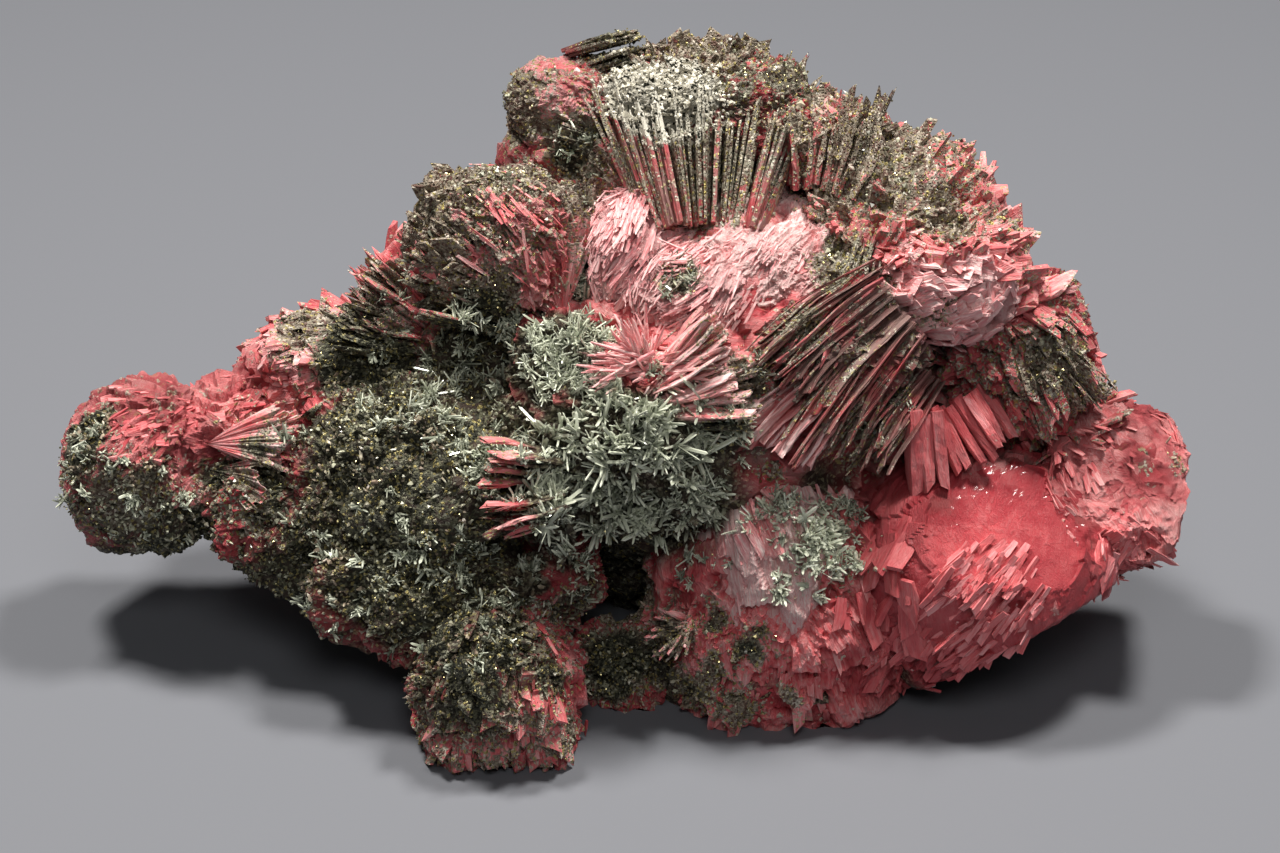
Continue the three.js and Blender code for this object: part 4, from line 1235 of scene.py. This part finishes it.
def spray(root, way, spread, count, long, wide, thick, tint, dust, apart=0.0):
    """Pointed splinters that leave one place in directions scattered about one way. With apart they are
    broad tablets instead, side by side, about that far from each other.
    """
    root, way = vectors(root, way)
    way = unit(way)
    along = unit(way + scatter(count, spread))
    start = root - way * long * 0.15 + scatter(count, 0.5 if apart else long * 0.10)
    flat = side_of(along, unit(scatter(count)) * (0.3 if apart else 1) + TOWARDS_VIEW)
    start = start + np.cross(flat, along) * (apart * (np.arange(count) - count / 2 + 0.5))[:, None]
    size = random.uniform(0.8 if apart else 0.55, 1.1, count)
    return blades(start, along, flat, long * size, wide * size, thick * size,
                  random.normal(0, 0.04, count), tint * random.uniform(0.8, 1.15, count),
                  dust * random.uniform(0.3, 1.3, count), root_width=0.9, tip_width=0.7 if apart else 0.25,
                  jag=0.10 if apart else 0.15, stations=9 if apart else 5, wave=0.5 if apart else 0.0,
                  ring=SLAB_RING if apart else LEAF_RING)


for name, row in SPRAYS.items():
    put_rock(name, spray(*row), glossy_pink if name.startswith("coral") else pink)

# ---------------------------------------- druses and crusts


def face_places(made):
    """The middles of a mesh's quads, their directions and their areas."""
    four = made["points"][np.concatenate([f for f in made["faces"] if f.shape[1] == 4])]
    square = np.cross(four[:, 2] - four[:, 0], four[:, 3] - four[:, 1])
    share = random.uniform(0.15, 0.85, (len(four), 2, 1))
    low = four[:, 0] * (1 - share[:, 0]) + four[:, 1] * share[:, 0]
    high = four[:, 3] * (1 - share[:, 0]) + four[:, 2] * share[:, 0]
    return low * (1 - share[:, 1]) + high * share[:, 1], unit(square), np.linalg.norm(square, axis=-1) / 2


# Carriers: places spread evenly over the rock's skin, for needles, stubs and grains to grow on.
CARRIERS = 300000
LOWEST_CARRIER = 1.5
found = [face_places(made) for made in rock]
places, facing, area = (np.concatenate([f[k] for f in found]) for k in range(3))
area[buried(places)] = 0
taken = random.choice(len(places), CARRIERS, p=area / area.sum())
carriers, outward = places[taken] + scatter(CARRIERS, 0.12), facing[taken]
standing = carriers[:, 2] > LOWEST_CARRIER
patchy = 0.35 * noise(carriers, 5, 11) + 0.2 * noise(carriers, 2.2, 12)
open_side = np.clip(0.4 + 0.7 * (outward @ TOWARDS_VIEW), 0.1, 1)
open_side = open_side * np.clip(0.6 + 0.6 * outward[:, 2], 0.3, 1)
thick = growth(carriers) * open_side[:, None]
in_crust = patch_depth("pale_crust_top_fan", carriers)
thick = thick * np.clip(1 - 4 * in_crust, 0, 1)[:, None]  # the pale crust keeps its place to itself


def chosen_by(weight, count):
    """Numbers of count carriers, drawn by weight, with none drawn twice."""
    weight = np.where(standing, np.clip(weight, 0, None), 0)
    score = random.uniform(0, 1, len(weight)) ** (1 / np.maximum(weight, 1e-6))
    score[weight <= 0] = -1
    order = np.argpartition(-score, count)[:count]
    return order[score[order] > 0]


BETWEEN = "between"
BORDER = -0.3  # the depth in a patch's ellipsoid down to which its crystals grow


def by_patch(kind, numbers):
    """Splits carrier numbers between the patches of a kind, and the rest that no patch holds."""
    nodes = PATCHES[kind]
    depth = np.stack([patch_depth(node, carriers[numbers]) for node in nodes])
    best = depth.argmax(0)
    inside = depth.max(0) > BORDER
    shares = {node: numbers[inside & (best == k)] for k, node in enumerate(nodes)}
    shares[BETWEEN] = numbers[~inside]
    return shares


def put_patch(node, kind, made, material, slot):
    """The crystals of one patch, which stand for its node, or those between the patches, which stand for
    none.
    """
    if node == BETWEEN:
        put(slot + "_" + kind + "_between", made, material, slot)
    else:
        put(node + "_" + kind, made, material, slot, node)


TUFTS = 2250  # tufts of quartz needles
TUFT = 10  # needles in a tuft
STUBS_IN_ALL = 13600
DRUSY_GRAINS = 24000
PYRITE_GRAINS = 20000
PALE_GRAINS = 7000
# Needles of each druse, and of the rest: longest, thickest and how pale.
NEEDLE_SIZE = {"quartz_druse_nose": (4.5, 0.42, 0.85), "quartz_druse_upper": (3.8, 0.28, 0.90),
               "quartz_druse_shoulder": (3.6, 0.28, 0.80), "quartz_druse_foot": (3.0, 0.46, 1.05),
               "quartz_druse_knob": (2.6, 0.42, 0.80), "quartz_druse_ledge": (2.8, 0.32, 0.65)}
OTHER_NEEDLES = (2.8, 0.30, 0.65)

needle_weight = thick[:, NEEDLES] + patchy * (thick[:, NEEDLES] > 0)
needle_numbers = chosen_by(needle_weight ** 2 * (needle_weight > 0), TUFTS)
for node, numbers in by_patch("quartz_druse", needle_numbers).items():
    longest, thickest, pale = NEEDLE_SIZE.get(node, OTHER_NEEDLES)
    foot = carriers[numbers] + outward[numbers] * random.uniform(-0.4, 1.8, (len(numbers), 1))
    tuft = np.repeat(np.arange(len(numbers)), TUFT)
    count = len(tuft)
    along = unit(outward[numbers][tuft] * 0.7 + np.array([0, -0.1, 0.15]) + scatter(count, 0.6))
    big = random.lognormal(0, 0.25, len(numbers))[tuft]
    long = random.uniform(0.35, 1.0, count) * longest * big
    root = foot[tuft] - along * 0.6 + scatter(count, 0.5)
    shade = random.normal(pale, 0.12, len(numbers))[tuft]
    tint = np.clip(shade + random.normal(0, 0.2, count) + 0.2 * noise(root, 7, 4), 0, 1)
    made = prisms(root, along, long, random.uniform(0.45, 1.0, count) * thickest * big ** 0.7, tint, 0.7)
    put_patch(node, "needles", made, needle_quartz, "quartz")

stub_weight = thick[:, STUBS] + 0.8 * patchy * (thick[:, STUBS] > 0)
numbers = chosen_by(stub_weight, STUBS_IN_ALL)
count = len(numbers)
along = unit(outward[numbers] + scatter(count, 0.6))
tint = random.normal(0.48, 0.25, count) + 0.35 * noise(carriers[numbers], 6, 5) + glassy(carriers[numbers])
tint = np.clip(tint, 0, 1)
made = prisms(carriers[numbers] - along * 0.5, along, random.uniform(0.7, 2.2, count),
              random.uniform(0.22, 0.55, count), tint)
put("grey_green_stubs", made, stub_quartz, "quartz")

grain_weight = thick[:, GRAINS] + 0.9 * patchy * (thick[:, GRAINS] > 0)
numbers = chosen_by(grain_weight, DRUSY_GRAINS)
count = len(numbers)
centre = carriers[numbers] + outward[numbers] * random.uniform(0, 0.5, (count, 1))
tint = np.clip(random.normal(0.45, 0.3, count) + 0.35 * noise(centre, 6, 5), 0, 1)
made = grains(centre, random.lognormal(-0.3, 0.3, count), tint)
put("drusy_grains", made, stub_quartz, "quartz")

pyrite_weight = thick[:, PYRITE] * (0.8 + 1.6 * patchy)
for node, numbers in by_patch("pyrite_crust", chosen_by(pyrite_weight, PYRITE_GRAINS)).items():
    count = len(numbers)
    centre = carriers[numbers] + outward[numbers] * random.uniform(0.1, 1.1, (count, 1))
    size = random.lognormal(-0.75, 0.25, count)
    made = grains(centre, size, np.clip(random.normal(0.5, 0.35, count), 0, 1))
    put_patch(node, "grains", made, pyrite, "pyrite")

# The pale crust on the upper fan: it covers what faces up there.
covered = np.clip(in_crust * 2 + 0.7, 0, 1) * open_side ** 2 + 0.2 * patchy
numbers = chosen_by(np.where(in_crust > BORDER, covered, 0), PALE_GRAINS)
count = len(numbers)
centre = carriers[numbers] + outward[numbers] * random.uniform(0, 0.9, (count, 1))
size = random.lognormal(-0.1, 0.3, count)
made = grains(centre, size, np.clip(random.normal(0.6, 0.25, count), 0, 1))
put("pale_crust_grains", made, cream, "cream", "pale_crust_top_fan")

# ---------------------------------------- stage

CAMERA_RISE = math.radians(33)
CAMERA_AWAY = 0.760
LOOK_AT = np.array([0.003, -0.004, 0.055])
LENS = 100.6
SENSOR = 36
FLOOR_HALF = 2500
FLOOR_GREY = (0.155, 0.163, 0.185, 1)
AIM = (0, 0, 0.05)  # where the lights point, in metres
# Lights: place and size in metres, power and colour.
LIGHTS = {
    "left": ((-0.30, 0.12, 0.98), 0.16, 11.0, (1, 0.96, 0.90)),
    "right": ((0.30, 0.08, 0.98), 0.16, 10.5, (1, 0.96, 0.90)),
    "front": ((0.05, -0.65, 0.85), 0.35, 2.0, (1, 0.98, 0.95)),
}
SKY = (0.8, 0.82, 0.85, 1)
SKY_STRENGTH = 0.05


def area_light(name, place, size, power, colour):
    """A square soft light at place that faces the specimen."""
    data = bpy.data.lights.new(name, "AREA")
    data.size = size
    data.energy = power
    data.color = colour
    lamp = bpy.data.objects.new(name, data)
    lamp.location = place
    away = Vector(np.array(place) - np.array(AIM))
    lamp.rotation_euler = away.to_track_quat("Z", "Y").to_euler()
    bpy.context.scene.collection.objects.link(lamp)


def stage():
    """A plain pale floor, soft lights above and behind, a weak one in front, and the camera."""
    corners = FLOOR_HALF * np.array([[-1, -1, 0], [1, -1, 0], [1, 1, 0], [-1, 1, 0]])
    floor = put_mesh("floor", corners, [np.array([[0, 1, 2, 3]])])
    n = Nodes("floor")
    floor.data.materials.append(n.set(Base_Color=FLOOR_GREY, Roughness=0.7))
    for name, row in LIGHTS.items():
        area_light(name, *row)
    world = bpy.data.worlds.new("studio")
    world.use_nodes = True
    world.node_tree.nodes["Background"].inputs["Color"].default_value = SKY
    world.node_tree.nodes["Background"].inputs["Strength"].default_value = SKY_STRENGTH
    bpy.context.scene.world = world
    bpy.context.scene.view_settings.view_transform = "Standard"
    lens = bpy.data.cameras.new("camera")
    lens.lens = LENS
    lens.sensor_width = SENSOR
    camera = bpy.data.objects.new("camera", lens)
    back = np.array([0, -math.cos(CAMERA_RISE), math.sin(CAMERA_RISE)])
    camera.location = LOOK_AT + back * CAMERA_AWAY
    camera.rotation_euler = (math.pi / 2 - CAMERA_RISE, 0, 0)
    bpy.context.scene.collection.objects.link(camera)
    bpy.context.scene.camera = camera


stage()
